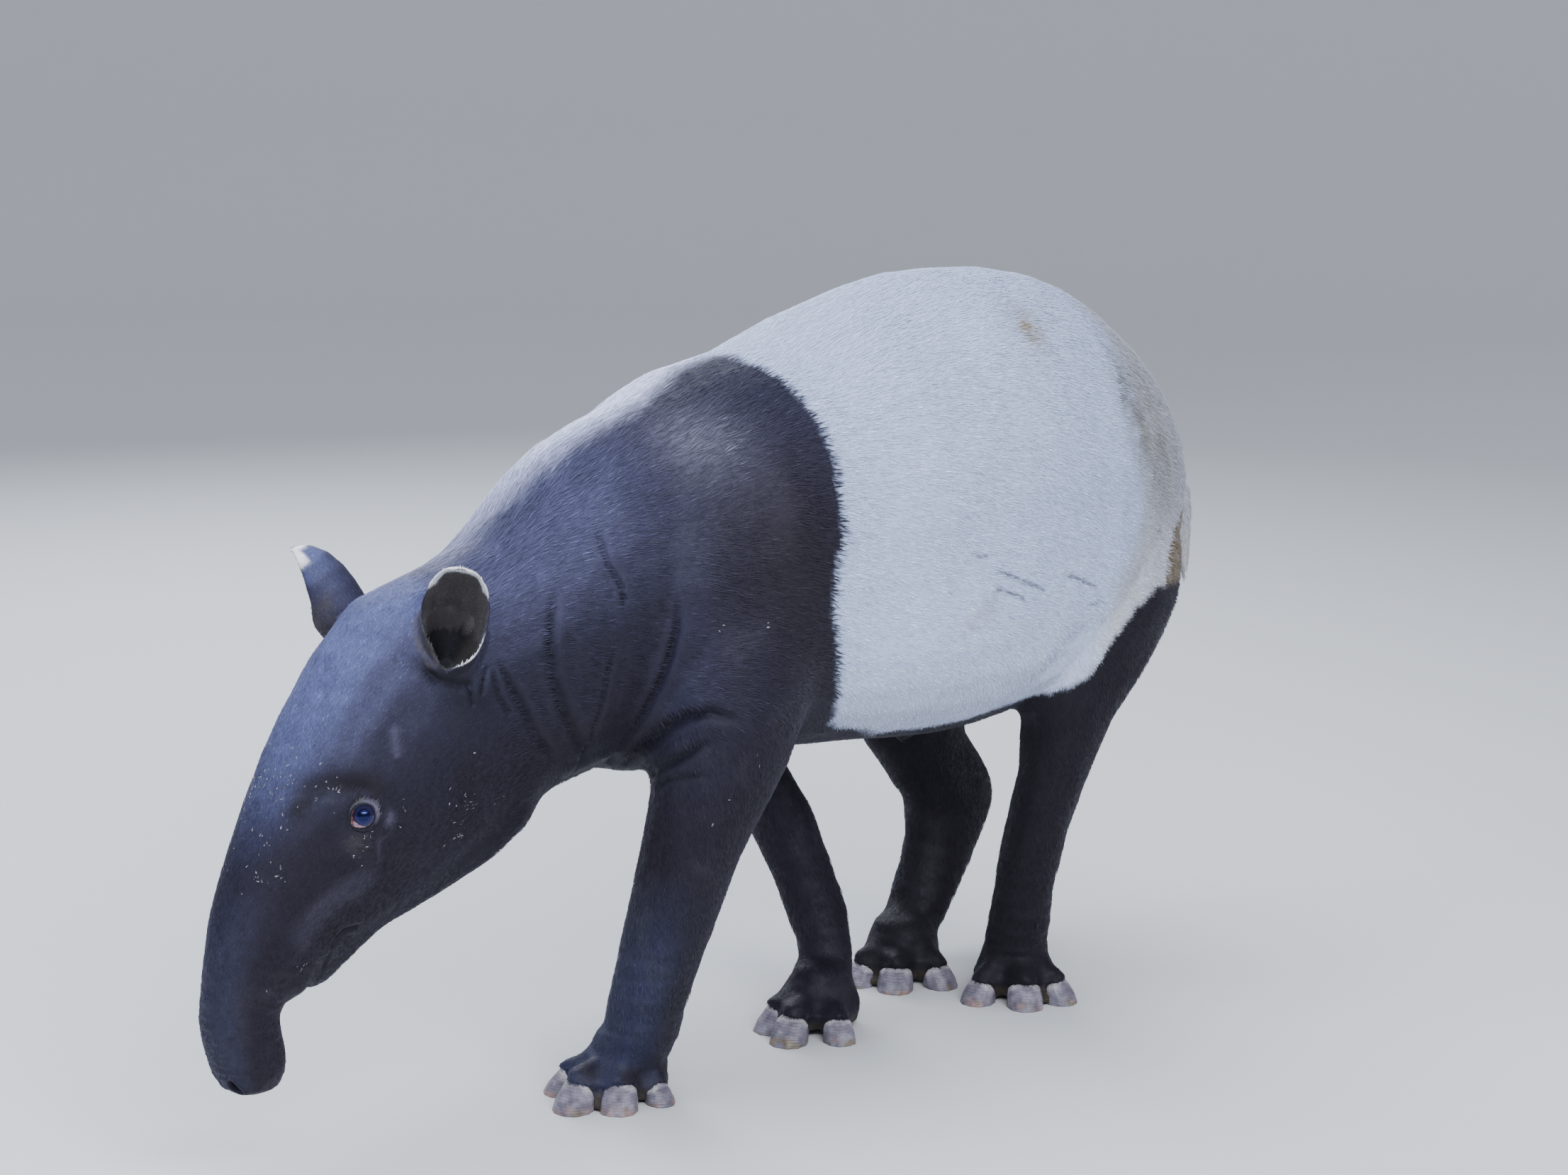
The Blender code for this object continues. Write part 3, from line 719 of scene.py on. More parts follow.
def lid_place(left):
    """Round the left eye: along, up, shares of both reaches, distance outside, height off the middle."""
    rel = left - EYE_CENTRE
    a, b = rel @ EYE_ALONG, rel @ EYE_UP
    angle = np.degrees(np.arctan2(b, a))
    opening, ball = 0, 0
    for turn in (-10, -5, 0, 5, 10):
        at = (angle + turn) % 360
        opening = opening + np.interp(at, LID_TABLE[:, 0], LID_TABLE[:, 1]) / 5
        ball = ball + np.interp(at, LID_TABLE[:, 0], LID_TABLE[:, 2]) / 5
    r = np.hypot(a, b)
    return a, b, r / opening, r / ball, r - opening, rel @ EYE_OUT


def back_to_side(q, p):
    """Points shaped on the left, returned to the side they came from."""
    q[:, 1] = np.where(p[:, 1] > 0, -q[:, 1], q[:, 1])
    return q


def open_lids(p):
    """Shape the lids round both eyes: outside the opening they wrap the ball, inside they dive."""
    left = mirrored(p)
    near = np.flatnonzero(near_eye(left, 0.05))
    q = left[near]
    a, b, opening, ball, out, height = lid_place(q)
    rel = q - EYE_CENTRE
    radius = np.linalg.norm(rel, axis=1)
    way = rel / radius[:, None]
    wrap = EYE_RADIUS + LID_EDGE + LID_THICKNESS * step(0, 0.0024, out)
    hold = step(0.017, 0.004, out)
    target = wrap * hold + radius * (1 - hold)
    target = np.where(out < 0.006, np.maximum(target, wrap), target)
    upper = step(-0.002, 0.003, b)
    target += 0.001 * bell(out, 0.0038, 0.002)
    target -= (0.0012 + 0.0012 * upper) * bell(out, 0.0078, 0.0015)
    target += 0.0008 * bell(out, 0.0105, 0.0018) * (1 - upper)
    target -= 0.0012 * bell(out, 0.0135, 0.0018) * (1 - upper)
    keep = step(LID_REACH, LID_REACH * 0.5, np.hypot(a, b))
    outside = radius + (target - radius) * keep
    caruncle = 0.0016 * np.exp(-((a - CARUNCLE[0]) ** 2 + (b - CARUNCLE[1]) ** 2) / 0.0026**2)
    inside = np.where(ball < 1, EYE_RADIUS - BALL_GAP, EYE_RADIUS + FLESH_RISE + caruncle)
    new = np.where(opening < 1, inside, outside)
    new = np.where(height > -0.004, new, radius)
    result = p.copy()
    result[near] = back_to_side(EYE_CENTRE + way * new[:, None], p[near])
    return result


def snap_to_lid_edges(p):
    """Move points that lie close to the edges of the opening and of the flesh onto them."""
    left = mirrored(p)
    near = np.flatnonzero(near_eye(left, 0.03))
    q = left[near]
    for which in (3, 2):
        place = lid_place(q)
        share = place[which]
        close = (np.abs(share - 1) < 0.04) & (place[5] > 0)
        push = (1.0001 / np.maximum(share, 1e-6) - 1) * close
        q = q + np.outer(place[0] * push, EYE_ALONG) + np.outer(place[1] * push, EYE_UP)
    result = p.copy()
    result[near] = back_to_side(q, p[near])
    return result


def hollow_ears(p):
    """Sink the head's surface inside each ear into a deep hollow."""
    result = p.copy()
    for name in EARS:
        share, _, height, _ = ear_place(p, name)
        funnel = np.clip((-height - 0.0025) / 0.024, 0, 1) ** 0.8
        sink = EAR_HOLLOW * funnel * (share > -0.6) * (share < 0.5)
        result -= sink[:, None] * ear_frame(name)[1]
    return result


def in_ear_hollow(p, name):
    share, _, height, _ = ear_place(p, name)
    return (height < -0.0022) & (share > -0.8) & (share < 0.3)


def open_nostrils(p):
    left = mirrored(p)
    rel = left - NOSTRIL
    out = unit(np.array([-0.72, -0.22, -0.66]))
    slit = unit(np.cross(out, np.array([0.25, 1.0, 0.1])))
    across = np.cross(out, slit)
    a, b = rel @ slit, rel @ across - 6.0 * (rel @ slit) ** 2
    share = (a / 0.0105) ** 2 + (b / 0.0052) ** 2
    near = np.linalg.norm(rel, axis=1) < 0.03
    depth = 0.011 * np.exp(-(share**2.2)) * near
    lip = 0.0014 * bell(np.sqrt(share), 1.55, 0.32) * near
    move = np.outer(lip - depth, out)
    move[:, 1] = np.where(p[:, 1] > 0, -move[:, 1], move[:, 1])
    return p + move


# Where each foot's toes spread from.
FOOT_PLACES = {
    "forefoot_left": (-0.224, -0.018),
    "forefoot_right": (0.164, 0.014),
    "hindfoot_left": (0.478, -0.066),
    "hindfoot_right": (0.412, 0.098),
}
# How high the horn shows at the front of a hoof and how much lower at its sides, as shares.
CORONET_HEIGHT = 0.92
CORONET_DROP = 0.4
# How much the upper half of the horn is drawn up along the toe, and how far it leans back.
HOOF_RISE = {"fore": 0.4, "hind": 0.2}
HOOF_LEAN = 0.6
# How far the horn dives under the skin above its line.
HORN_DIVE = 0.0036
# How far the skin stays inside the horn below the line, and how far off it looks for the horn.
HORN_COVER = 0.0016
HORN_REACH = 0.009
# How close to the line the skin is drawn in with it, and the top of the feet.
GRAZING = 0.003
FOOT_TOP = 0.06
# How far round each hoof the skin gets finer faces.
CORONET_MARGIN = 0.005


def hoof_frame(name):
    """A hoof's middle, radius and direction ahead on the floor, and the height it is drawn to."""
    kind, side, _ = name.split("_")
    foot = FOOT_PLACES[kind.replace("hoof", "foot") + "_" + side]
    low, high = box_of(name)
    middle = (low + high)[:2] / 2
    return middle, (high - low)[:2].max() / 2, unit(middle - np.array(foot)), high[2]


def raised_hoof(name, p):
    """Points of a hoof with its upper half drawn up and back along the toe."""
    _, _, ahead, height = hoof_frame(name)
    over = np.maximum(p[:, 2] - height / 2, 0)
    rise = over * HOOF_RISE[name[:4]]
    return p + np.c_[-ahead[0] * rise * HOOF_LEAN, -ahead[1] * rise * HOOF_LEAN, rise]


def coronet_line(name, p):
    """Height at points to which a hoof's horn shows, and each point's distance in radii."""
    middle, radius, ahead, height = hoof_frame(name)
    rel = (p[:, :2] - middle) / radius
    aside = np.abs(rel @ np.array((-ahead[1], ahead[0])))
    top = height * (1 + HOOF_RISE[name[:4]] / 2)
    line = top * (CORONET_HEIGHT - CORONET_DROP * np.minimum(aside, 1.2) ** 2)
    return line * step(-0.85, -0.25, rel @ ahead), np.hypot(*rel.T)


def under_hooves(p):
    """Draw the skin inside the front of each hoof, up to an arched line."""
    result = p.copy()
    low = np.flatnonzero(p[:, 2] < FOOT_TOP)
    for name in HOOVES:
        corners = raised_hoof(name, points_of(NODES[name].data))
        tree = BVHTree.FromPolygons(corners.tolist(), triangles_of(NODES[name].data).tolist())
        line, away = coronet_line(name, p[low])
        for i, height in zip(low[away < 1.5], line[away < 1.5]):
            found, normal, _, distance = tree.find_nearest(result[i], HORN_REACH)
            if found is None:
                continue
            outside = (Vector(result[i]) - found).dot(normal)
            bare = p[i, 2] < height and outside > -HORN_COVER
            grazing = abs(outside + HORN_COVER) < GRAZING and distance < HORN_COVER * 2
            if bare or grazing:
                result[i] = found - normal * HORN_COVER
    result[:, 2] = np.maximum(result[:, 2], np.where(p[:, 2] < 0.05, 0.003, -1))
    return result


def boolean_union(base, others):
    obj = new_object("skin", base)
    for mesh in others:
        cutter = new_object("ear_cutter", mesh)
        modifier = obj.modifiers.new("union", "BOOLEAN")
        modifier.operation = "UNION"
        modifier.solver = "EXACT"
        modifier.object = cutter
        result = evaluated_mesh(obj)
        obj.modifiers.clear()
        obj.data = result
        bpy.data.objects.remove(cutter)
    return obj


def make_skin():
    mesh = voxel_joined("skin", FLESH + EYES + HOOVES, OVERLAP, VOXEL)
    largest_part(mesh)
    edges = edges_of(mesh)
    points = points_of(mesh)
    loose = step(0.03, 0.09, points[:, 2]) * (1 - near_tail(points)) * (1 - near_chin(points))
    points = smoothed(points, edges, SMOOTH_ROUNDS, weight=0.3 + 0.7 * loose)
    ankles = step(0.04, 0.068, points[:, 2]) * step(0.22, 0.16, points[:, 2])
    extra = np.maximum(step(-0.7, -0.76, points[:, 0]), ankles * (points[:, 0] > -0.5))
    set_points(mesh, smoothed(points, edges, SNOUT_ROUNDS, weight=extra, unshrink=0.604))
    for wanted in FINER:
        refine(mesh, wanted)
    triangulated(mesh)
    points = points_of(mesh)
    fine = np.maximum(near_head(points), near_feet(points)).astype(float)
    set_points(mesh, smoothed(points, edges_of(mesh), FINE_ROUNDS, weight=fine))
    obj = boolean_union(mesh, [ear_mesh(name) for name in EARS])
    mesh = obj.data
    triangulated(mesh)
    points = points_of(mesh)
    set_points(mesh, smoothed(points, edges_of(mesh), ROOT_ROUNDS, weight=ear_root_weight(points)))
    points = points_of(mesh)
    before = normals_of(mesh)
    inward = (creased(points) - coat_depth(points) - OVERLAP) * (1 - ear_weight(points))
    points = points + before * inward[:, None]
    points = hollow_ears(points)
    points = open_nostrils(points)
    points = snap_to_lid_edges(points)
    points = open_lids(points)
    points = under_hooves(points)
    set_points(mesh, points)
    return obj, before


# The coat's colours.
BLACK_BROWN = rgb(0.0096, 0.0078, 0.0135)
# Painted sky light: the black where it faces up or forward, here and in the blues of the neck, snout,
# brow and legs below; on the neck and brow partly the hair's own blue.
BLACK_BLUE_SKY_LIT = rgb(0.0185, 0.0175, 0.034)
# Painted shade: a darker black over the hind part.
BLACK_HIND_SHADED = rgb(0.0075, 0.0058, 0.0088)
SHOULDER_BROWN = rgb(0.015, 0.0115, 0.015)
WITHERS_GREY = rgb(0.1, 0.1, 0.145)
NECK_BLUE_SKY_LIT = rgb(0.052, 0.054, 0.113)
SNOUT_BLUE_SKY_LIT = rgb(0.023, 0.023, 0.046)
BROW_BLUE_SKY_LIT = rgb(0.1, 0.118, 0.27)
LEG_BLUE_SKY_LIT = rgb(0.028, 0.031, 0.068)
CREST_SHEEN = rgb(0.57, 0.6, 0.9)
SADDLE = rgb(0.465, 0.545, 0.78)
SADDLE_GREY = rgb(0.34, 0.37, 0.45)
SADDLE_WARM = rgb(0.37, 0.355, 0.34)
TAIL_WHITE = rgb(0.44, 0.44, 0.47)
RIM_WHITE = rgb(0.8, 0.81, 0.86)
STAIN = rgb(0.24, 0.19, 0.12)
BROWN_AND_SHADOW = rgb(0.135, 0.095, 0.042)
GREY_STREAK = rgb(0.15, 0.145, 0.14)
RUMP_GREY = rgb(0.25, 0.24, 0.23)
SCRATCH = rgb(0.055, 0.055, 0.065)
LID_LILAC = rgb(0.115, 0.105, 0.15)
LID_BROWN = rgb(0.085, 0.08, 0.072)
# Dark for painted shade: in the brow hollow, at the mouth corner, in the lids' crease and along their
# edge.
SHADE_DARK = rgb(0.006, 0.005, 0.006)
BAG_GREY = rgb(0.046, 0.045, 0.046)
FLESH_RED = rgb(0.11, 0.035, 0.034)
FLESH_PALE = rgb(0.5, 0.31, 0.37)
PALE_FOLD = rgb(0.11, 0.105, 0.165)
PALE_FLECK = rgb(0.3, 0.29, 0.33)
# The inside of the ears, also laid on the back wall of each hollow as painted light.
EAR_INSIDE = rgb(0.078, 0.07, 0.07)
EAR_FUR = rgb(0.07, 0.064, 0.07)
DUST = rgb(0.06, 0.058, 0.07)
WEB_OLIVE = rgb(0.055, 0.044, 0.024)

# The pale painted sheen along the crest of the neck: x, and y of its left edge.
CREST_EDGE = rows(2,
    -0.56, 0.03,  -0.5, 0.012,  -0.45, 0.02,  -0.376, 0.012,  -0.267, -0.004,  -0.2, 0.0,
    -0.11, 0.036,  -0.05, 0.052,
)
CREST_WIDTH = 0.09

# Stains on the left side: middle, reach, strength and colour.
STAINS = [
    ((0.358, -0.166, 0.98), (0.022, 0.05, 0.03), 0.85, STAIN),
    ((0.512, -0.205, 0.89), (0.02, 0.06, 0.05), 1.0, GREY_STREAK),
    ((0.534, -0.215, 0.825), (0.026, 0.06, 0.055), 1.0, GREY_STREAK),
    ((0.59, -0.19, 0.86), (0.065, 0.08, 0.08), 0.85, RUMP_GREY),
    ((0.62, -0.2, 0.78), (0.06, 0.08, 0.07), 0.7, RUMP_GREY),
    ((0.585, -0.215, 0.765), (0.022, 0.06, 0.045), 0.6, GREY_STREAK),
    ((0.198, -0.262, 0.64), (0.016, 0.05, 0.02), 0.35, STAIN),
    ((0.17, -0.259, 0.61), (0.04, 0.05, 0.02), 0.4, SADDLE_WARM),
    ((0.3, -0.25, 0.59), (0.09, 0.05, 0.02), 0.25, SADDLE_WARM),
    ((0.48, -0.225, 0.72), (0.012, 0.05, 0.06), 0.25, GREY_STREAK),
]
# Dark scratches in the saddle on the left side.
SCRATCHES = [
    mm(160, 0, 703,  186, 0, 700),
    mm(206, 0, 677,  249, 0, 660,  298, 0, 640),
    mm(201, 0, 654,  231, 0, 645,  257, 0, 635),
    mm(346, 0, 655,  379, 0, 643,  410, 0, 630),
    mm(414, 0, 601,  440, 0, 606),
    mm(585, 0, 681,  589, 0, 680),
]
SCRATCH_WIDTH = 0.0025
# Front edge of the patch beside the tail, brownish skin partly painted as the shadow between tail and
# buttock: height, x.
BROWN_SHADOW_EDGE = rows(2,
    0.59, 0.588,  0.62, 0.594,  0.65, 0.607,  0.676, 0.636,  0.692, 0.7,  0.705, 0.8,
)


# Pale lines on the face: points, half width and strength.
PALE_LINES = ((EYE_BAG[2:], 0.0028, 0.45), (TEMPLE_RIDGE, 0.007, 0.3), (CHEEK_RIDGE, 0.014, 0.16))


def mixed(a, b, t):
    return a + (b - a) * np.clip(t, 0, 1)[:, None]


def layered(colour, *layers):
    """Colours laid over a colour in turn, each with its weight."""
    for tone, weight in layers:
        colour = mixed(colour, tone, weight)
    return colour


def saddle_weight(p):
    """1 on the white saddle, 0 on the black coat."""
    x, z = p[:, 0], p[:, 2]
    ragged = noise(p, 0.03, 21) * 0.004 * step(0.4, 0.2, x) + noise(p, 0.008, 22) * 0.003
    down = np.degrees(np.arctan2(np.abs(p[:, 1]), z - SADDLE_MIDDLE))
    front = x - np.interp(down, SADDLE_FRONT[:, 0], SADDLE_FRONT[:, 1])
    low = z - np.interp(x, SADDLE_LOW[:, 0], SADDLE_LOW[:, 1])
    return np.maximum(step(-0.006, 0.006, np.minimum(front, low) + ragged), tail_weight(p))


def crest_sheen_weight(p, n):
    """1 on the pale sheen painted on the hair along the top of the neck, where it faces up."""
    x, y, z = p.T
    off = y - np.interp(x, CREST_EDGE[:, 0], CREST_EDGE[:, 1])
    soft = 0.01 * noise(p, 0.012, 32)
    near = step(-0.042, 0.03, off + soft)
    far = step(CREST_WIDTH + 0.025, CREST_WIDTH - 0.015, off + soft)
    length = step(-0.56, -0.25, x) * step(0.0, -0.04, x)
    return near * far * length * (z > 0.62) * step(0.0, 0.4, n[:, 2])


def coat_colour(p, n):
    """The colour of the skin and the coat at points with normals, linear, with painted sky light, sheen
    and shade.
    """
    left = mirrored(p)
    colour = mixed(black_coat(p, left, n), white_saddle(p, left, n), saddle_weight(p))
    return with_ears(p, with_eyes(left, colour))


def black_coat(p, left, n):
    """Black, bluer where it faces up or forward as painted sky light, darker over the hind part as
    painted shade, with a pale painted sheen along the crest, dust, and painted shade in the folds, the
    brow hollow, the mouth corner, under the ear and on the chest.
    """
    x, _, z = p.T
    lit = n[:, 2] * 0.85 - n[:, 0] * 0.5
    forward = 0.04 + 0.96 * step(-0.2, -0.37, x)
    high = step(0.38, 0.62, z)
    hind = step(0.1, 0.3, x)
    shoulder = blob(left, (-0.13, -0.22, 0.72), (0.11, 0.1, 0.19)) * high
    blue = np.clip(step(-0.5, 0.4, lit) * high + 0.15 * noise(p, 0.05, 31), 0, 1) * (1 - hind)
    neck = step(0.1, 0.8, lit) * forward * high
    brow = step(0.45, 0.95, lit) * head_weight(p) * high
    bridge = step(0.25, 0.8, -n[:, 0]) * head_weight(p) * step(0.46, 0.3, z)
    front = step(-0.2, 0.9, -n[:, 0]) * leg_weight(p) * step(0.05, -0.05, x)
    grain = 0.5 + 0.5 * noise(p * (0.35, 1, 1), 0.0035, 29)
    withers = blob(left, (-0.195, -0.11, 0.868), (0.055, 0.08, 0.05))
    patches = noise(p * (1, 1, 0.6), 0.04, 34) + 0.6 * noise(p, 0.011, 28)
    dusty = step(-0.1, 1.1, patches) * (leg_weight(p) * (1 - hind) * 0.22 + snout_weight(p) * 0.1)
    # A painted shadow at the mouth corner, under the cheek fold.
    lip = blob(left, (-0.712, -0.057, 0.319), (0.02, 0.02, 0.014))
    bag = blob(left, (-0.702, -0.086, 0.434), (0.014, 0.02, 0.011))
    colour = layered(
        BLACK_BROWN + 0 * p,
        # Painted shade: darker black over the hind part.
        (BLACK_HIND_SHADED, hind),
        # Painted sky light: bluer where the surface faces up or forward, on the neck and brow partly the
        # hair's own blue.
        (BLACK_BLUE_SKY_LIT, blue),
        (SHOULDER_BROWN, 0.8 * shoulder),
        (NECK_BLUE_SKY_LIT, neck * (0.85 + 0.2 * noise(p, 0.03, 37))),
        (BROW_BLUE_SKY_LIT, brow * (0.7 + 0.3 * noise(p, 0.01, 33))),
        (SNOUT_BLUE_SKY_LIT, bridge * (0.8 + 0.3 * noise(p, 0.008, 30))),
        (LEG_BLUE_SKY_LIT, front * step(0.36, 0.16, z) * 0.9),
        (WITHERS_GREY, withers * (0.4 + 0.6 * grain)),
        # Painted sheen: pale along the crest where the hair faces up.
        (CREST_SHEEN, crest_sheen_weight(p, n) * (0.88 + 0.12 * noise(p, 0.006, 38))),
        (DUST, dusty),
        (WEB_OLIVE, 0.7 * step(0.032, 0.014, z)),
        # Painted shade in the brow hollow and at the mouth corner.
        (SHADE_DARK, 0.85 * beside(left, BROW_HOLLOW, 0.0145)),
        (SHADE_DARK, 0.9 * lip),
        (BAG_GREY, 0.6 * bag),
    )
    # Painted shade in the folds.
    _, fold_shade, _ = fold_shapes(left)
    colour = colour * (1 - 0.82 * fold_shade)[:, None]
    colour = mixed(colour, PALE_FOLD, 0.55 * blob(left, (-0.661, -0.096, 0.459), (0.006, 0.01, 0.01)))
    for line, wide, strength in PALE_LINES:
        d, along = away_from(left, line)
        ends = step(0, 0.2, along) * step(1, 0.8, along)
        colour = mixed(colour, PALE_FOLD, strength * ends * bell(d, 0, wide))
    # Painted shade under the ear and low on the chest between the creases.
    ear_base_shade = blob(left, (-0.553, -0.112, 0.596), (0.04, 0.04, 0.028))
    ear_base_shade = np.maximum(ear_base_shade, beside(left, EAR_BASE, 0.013))
    chest_shade = blob(left, (-0.335, -0.09, 0.49), (0.07, 0.07, 0.045))
    return colour * ((1 - 0.6 * ear_base_shade) * (1 - 0.5 * chest_shade))[:, None]


def white_saddle(p, left, n):
    """White with a blue cast, greyer and warmer over the rump, lighter low on the sides and darker where
    it faces up as painted light, with stains, scratches and brownish skin beside the tail partly painted
    as shadow.
    """
    x, y, z = p.T
    grey = np.clip(0.5 + 0.5 * noise(p * (0.35, 1, 1), 0.006, 35), 0, 1)
    grey = grey * 0.28 * (0.6 + 0.4 * noise(p, 0.09, 39))
    edge = x + 0.06 * step(0.72, 0.6, z) + 0.012 * noise(p, 0.03, 27)
    rump = 0.7 * step(0.5, 0.56, edge)
    low = 0.3 * step(0.62, 0.48, z)
    saddle = layered(SADDLE + 0 * p, (SADDLE_GREY, grey), (SADDLE_WARM, low), (SADDLE_WARM, rump))
    # Painted light: the saddle lighter low on its sides and darker where it faces up.
    lit_side = 1 + 0.28 * step(0.78, 0.52, z) - 0.14 * step(0.2, 0.9, n[:, 2])
    saddle = saddle * lit_side[:, None]
    share = np.where(y < 0, 1.0, 0.25)
    speckle = 0.75 + 0.8 * noise(left * (1, 1, 0.4), 0.007, 36)
    for centre, reach, strength, stain in STAINS:
        saddle = mixed(saddle, stain, blob(left, centre, reach) * strength * share * speckle)
    # Brownish skin beside the tail, partly a painted shadow between the tail and the buttock.
    brown = x - np.interp(z, BROWN_SHADOW_EDGE[:, 0], BROWN_SHADOW_EDGE[:, 1])
    brown = step(-0.004, 0.008, brown) * step(0.8, 0.72, x)
    saddle = mixed(saddle, BROWN_AND_SHADOW, brown * (0.9 + 0.3 * noise(p, 0.01, 26)) * share)
    for line in SCRATCHES:
        scratch = beside(p * (1, 0, 1), line, SCRATCH_WIDTH)
        saddle = mixed(saddle, SCRATCH, 0.8 * scratch * (y < -0.1))
    tail = tail_weight(p)
    return saddle + (TAIL_WHITE - saddle) * tail[:, None]


# Round the left eye, angles as in the table of the lids, width of the pale ring and its strength.
RING_TABLE = rows(3,
    0, 0.0075, 0.85,  30, 0.0088, 1.0,  60, 0.0078, 0.8,  100, 0.0054, 0.6,  140, 0.0046, 0.45,
    170, 0.0022, 0.2,  220, 0.002, 0.1,  300, 0.0022, 0.2,  335, 0.005, 0.45,  360, 0.0075, 0.85,
)


def with_eyes(left, colour):
    """Pale lids behind and above the eye, painted shade in the crease beyond them and a painted shadow
    along their edge, and pink flesh in the inner corner.
    """
    a, b, opening, ball, out, height = lid_place(left)
    angle = np.degrees(np.arctan2(b, a)) % 360
    near = (height > 0) & near_eye(left, 0.034)
    wide = np.interp(angle, RING_TABLE[:, 0], RING_TABLE[:, 1])
    strength = np.interp(angle, RING_TABLE[:, 0], RING_TABLE[:, 2])
    rim = out + 0.0015 * noise(left, 0.004, 43)
    ring = near * step(0.001, 0.0032, out) * step(wide + 0.0022, wide - 0.0012, rim)
    tone = mixed(LID_BROWN + 0 * left, LID_LILAC, step(-0.004, 0.006, a))
    colour = colour + (tone - colour) * (ring * strength)[:, None]
    # Painted shade in the crease beyond the ring, and a painted shadow along the lids' edge.
    crease_shade = bell(out - wide, 0.0028, 0.0014) * (0.35 + 0.4 * strength)
    edge = step(0.0032, 0.0014, out) * 0.9
    colour = layered(colour, (SHADE_DARK, near * crease_shade), (SHADE_DARK, near * edge))
    flesh = near * (opening < 1.001) * (ball >= 0.999)
    pale = 0.5 + 0.5 * noise(left, 0.0022, 42)
    low = step(-0.0055, -0.0115, b) * (0.3 + 0.9 * pale)
    pink = FLESH_RED + (FLESH_PALE - FLESH_RED) * low[:, None]
    return colour + (pink - colour) * flesh[:, None]


def with_ears(p, colour):
    """Dark insides, white caps, grey fur on the front edge and a white line on the lower rim, with
    painted shade on the front side inside and deep in the hollow, and painted light on the hollow's back
    wall.
    """
    for name in EARS:
        share, angle, height, curl = ear_place(p, name)
        outward = -angle * front_side(name)
        cap = 0.0 if name == "ear_left" else 0.06
        wall = (share < 1.1) * (np.abs(height) < 0.01)
        on = step(0.02, 0.08, share) * wall
        rim = step(-0.02, 0.02, share) * wall
        inside = on * step(0.0004, -0.0006, height)
        colour = mixed(colour, EAR_INSIDE, inside * 0.9)
        # Painted shade inside the ear on its front side, strongest near the root.
        side = 0.3 + 0.7 * step(-0.2, 1.2, outward)
        colour = colour * (1 - inside * step(0.9, 0.35, share) * (1 - side))[:, None]
        edge = np.abs(angle) / curl
        wobble = noise(p, 0.006, 41)
        front = step(0.45, 0.62, edge) * step(0.58, 0.42, share) * (outward < 0)
        front = front * step(0.1, 0.16, share)
        colour = mixed(colour, EAR_FUR, rim * front * (0.5 + 0.4 * wobble))
        along = share + 0.012 * wobble
        tip = step(0.86 + cap, 0.9 + cap, along) * step(-0.006, -0.002, height)
        upper = step(0.72 + cap, 0.78 + cap, along) * step(0.62, 0.74, edge)
        lower = 0.9 * step(0.92, 0.965, edge) * step(0.155, 0.175, share)
        lower = lower * step(0.46, 0.36, share) * (outward > 0)
        colour = mixed(colour, RIM_WHITE, np.maximum(on * np.maximum(tip, upper), rim * lower))
        # Painted shade deep in the ear's hollow, with its back wall lightened as painted light.
        deep = in_ear_hollow(p, name)
        colour = colour * np.where(deep, 0.03, 1.0)[:, None]
        colour = mixed(colour, EAR_INSIDE, deep * 0.6 * step(0.3, 1.3, outward))
    return colour


# The coat: along the body, length, width, lift of the tip and share of the places.
TRUNK_TUFT = (0.016, 0.0013, 0.0016, 1.0)
LEG_TUFT = (0.01, 0.0011, 0.001, 1.6)
HEAD_TUFT = (0.007, 0.00085, 0.0007, 2.4)
SNOUT_TUFT = (0.0042, 0.00065, 0.0004, 3.4)
FOOT_TUFT = (0.0042, 0.0008, 0.0004, 3.2)
EAR_TUFT = (0.0046, 0.0007, 0.0005, 4.0)
TUFT_COUNT = 206000
PIECE_TUFTS = 30000
TUFT_THICKNESS = 0.00035
ROOT_DEPTH = 0.0006
# Where no hair grows: below this height, and this close to the lids' opening.
SOLE_HEIGHT = 0.0075
BARE_LID = 0.0022
# The least height of a tuft over the floor.
TUFT_CLEARANCE = 0.0012
# How far a tuft's shading turns away from the skin's towards its edges.
HAIR_ROUND = 0.3


def tuft_sizes(p):
    x, y, z = p.T
    legs, head, snout, ears = leg_weight(p), head_weight(p), snout_weight(p), ear_weight(p)
    feet = step(0.12, 0.06, z) * legs
    sizes = np.array(TRUNK_TUFT) + 0 * p[:, :1]
    targets = (LEG_TUFT, HEAD_TUFT, SNOUT_TUFT, FOOT_TUFT, EAR_TUFT)
    for weight, target in zip((legs, head, snout, feet, ears), targets):
        sizes = sizes + (target - sizes) * weight[:, None]
    eye = 1 - 0.6 * blob(mirrored(p), EYE_CENTRE, (0.02, 0.02, 0.02))
    sizes[:, 0] *= eye
    crest = step(0.05, 0.015, np.abs(y)) * step(-0.5, -0.42, x)
    crest = crest * step(0.02, -0.05, x) * step(0.72, 0.78, z)
    _, _, close = fold_shapes(mirrored(p))
    sizes[:, 0] *= 1 - 0.68 * close
    sizes[:, 2] *= 1 - 0.8 * close
    below = z - np.interp(x, SADDLE_LOW[:, 0], SADDLE_LOW[:, 1])
    edge = bell(below, 0, 0.018) * step(0.2, 0.34, x)
    sizes[:, 0] *= 1 - 0.6 * edge
    sizes[:, 0] *= 1 + 0.25 * crest
    sizes[:, 2] += 0.001 * crest
    return sizes


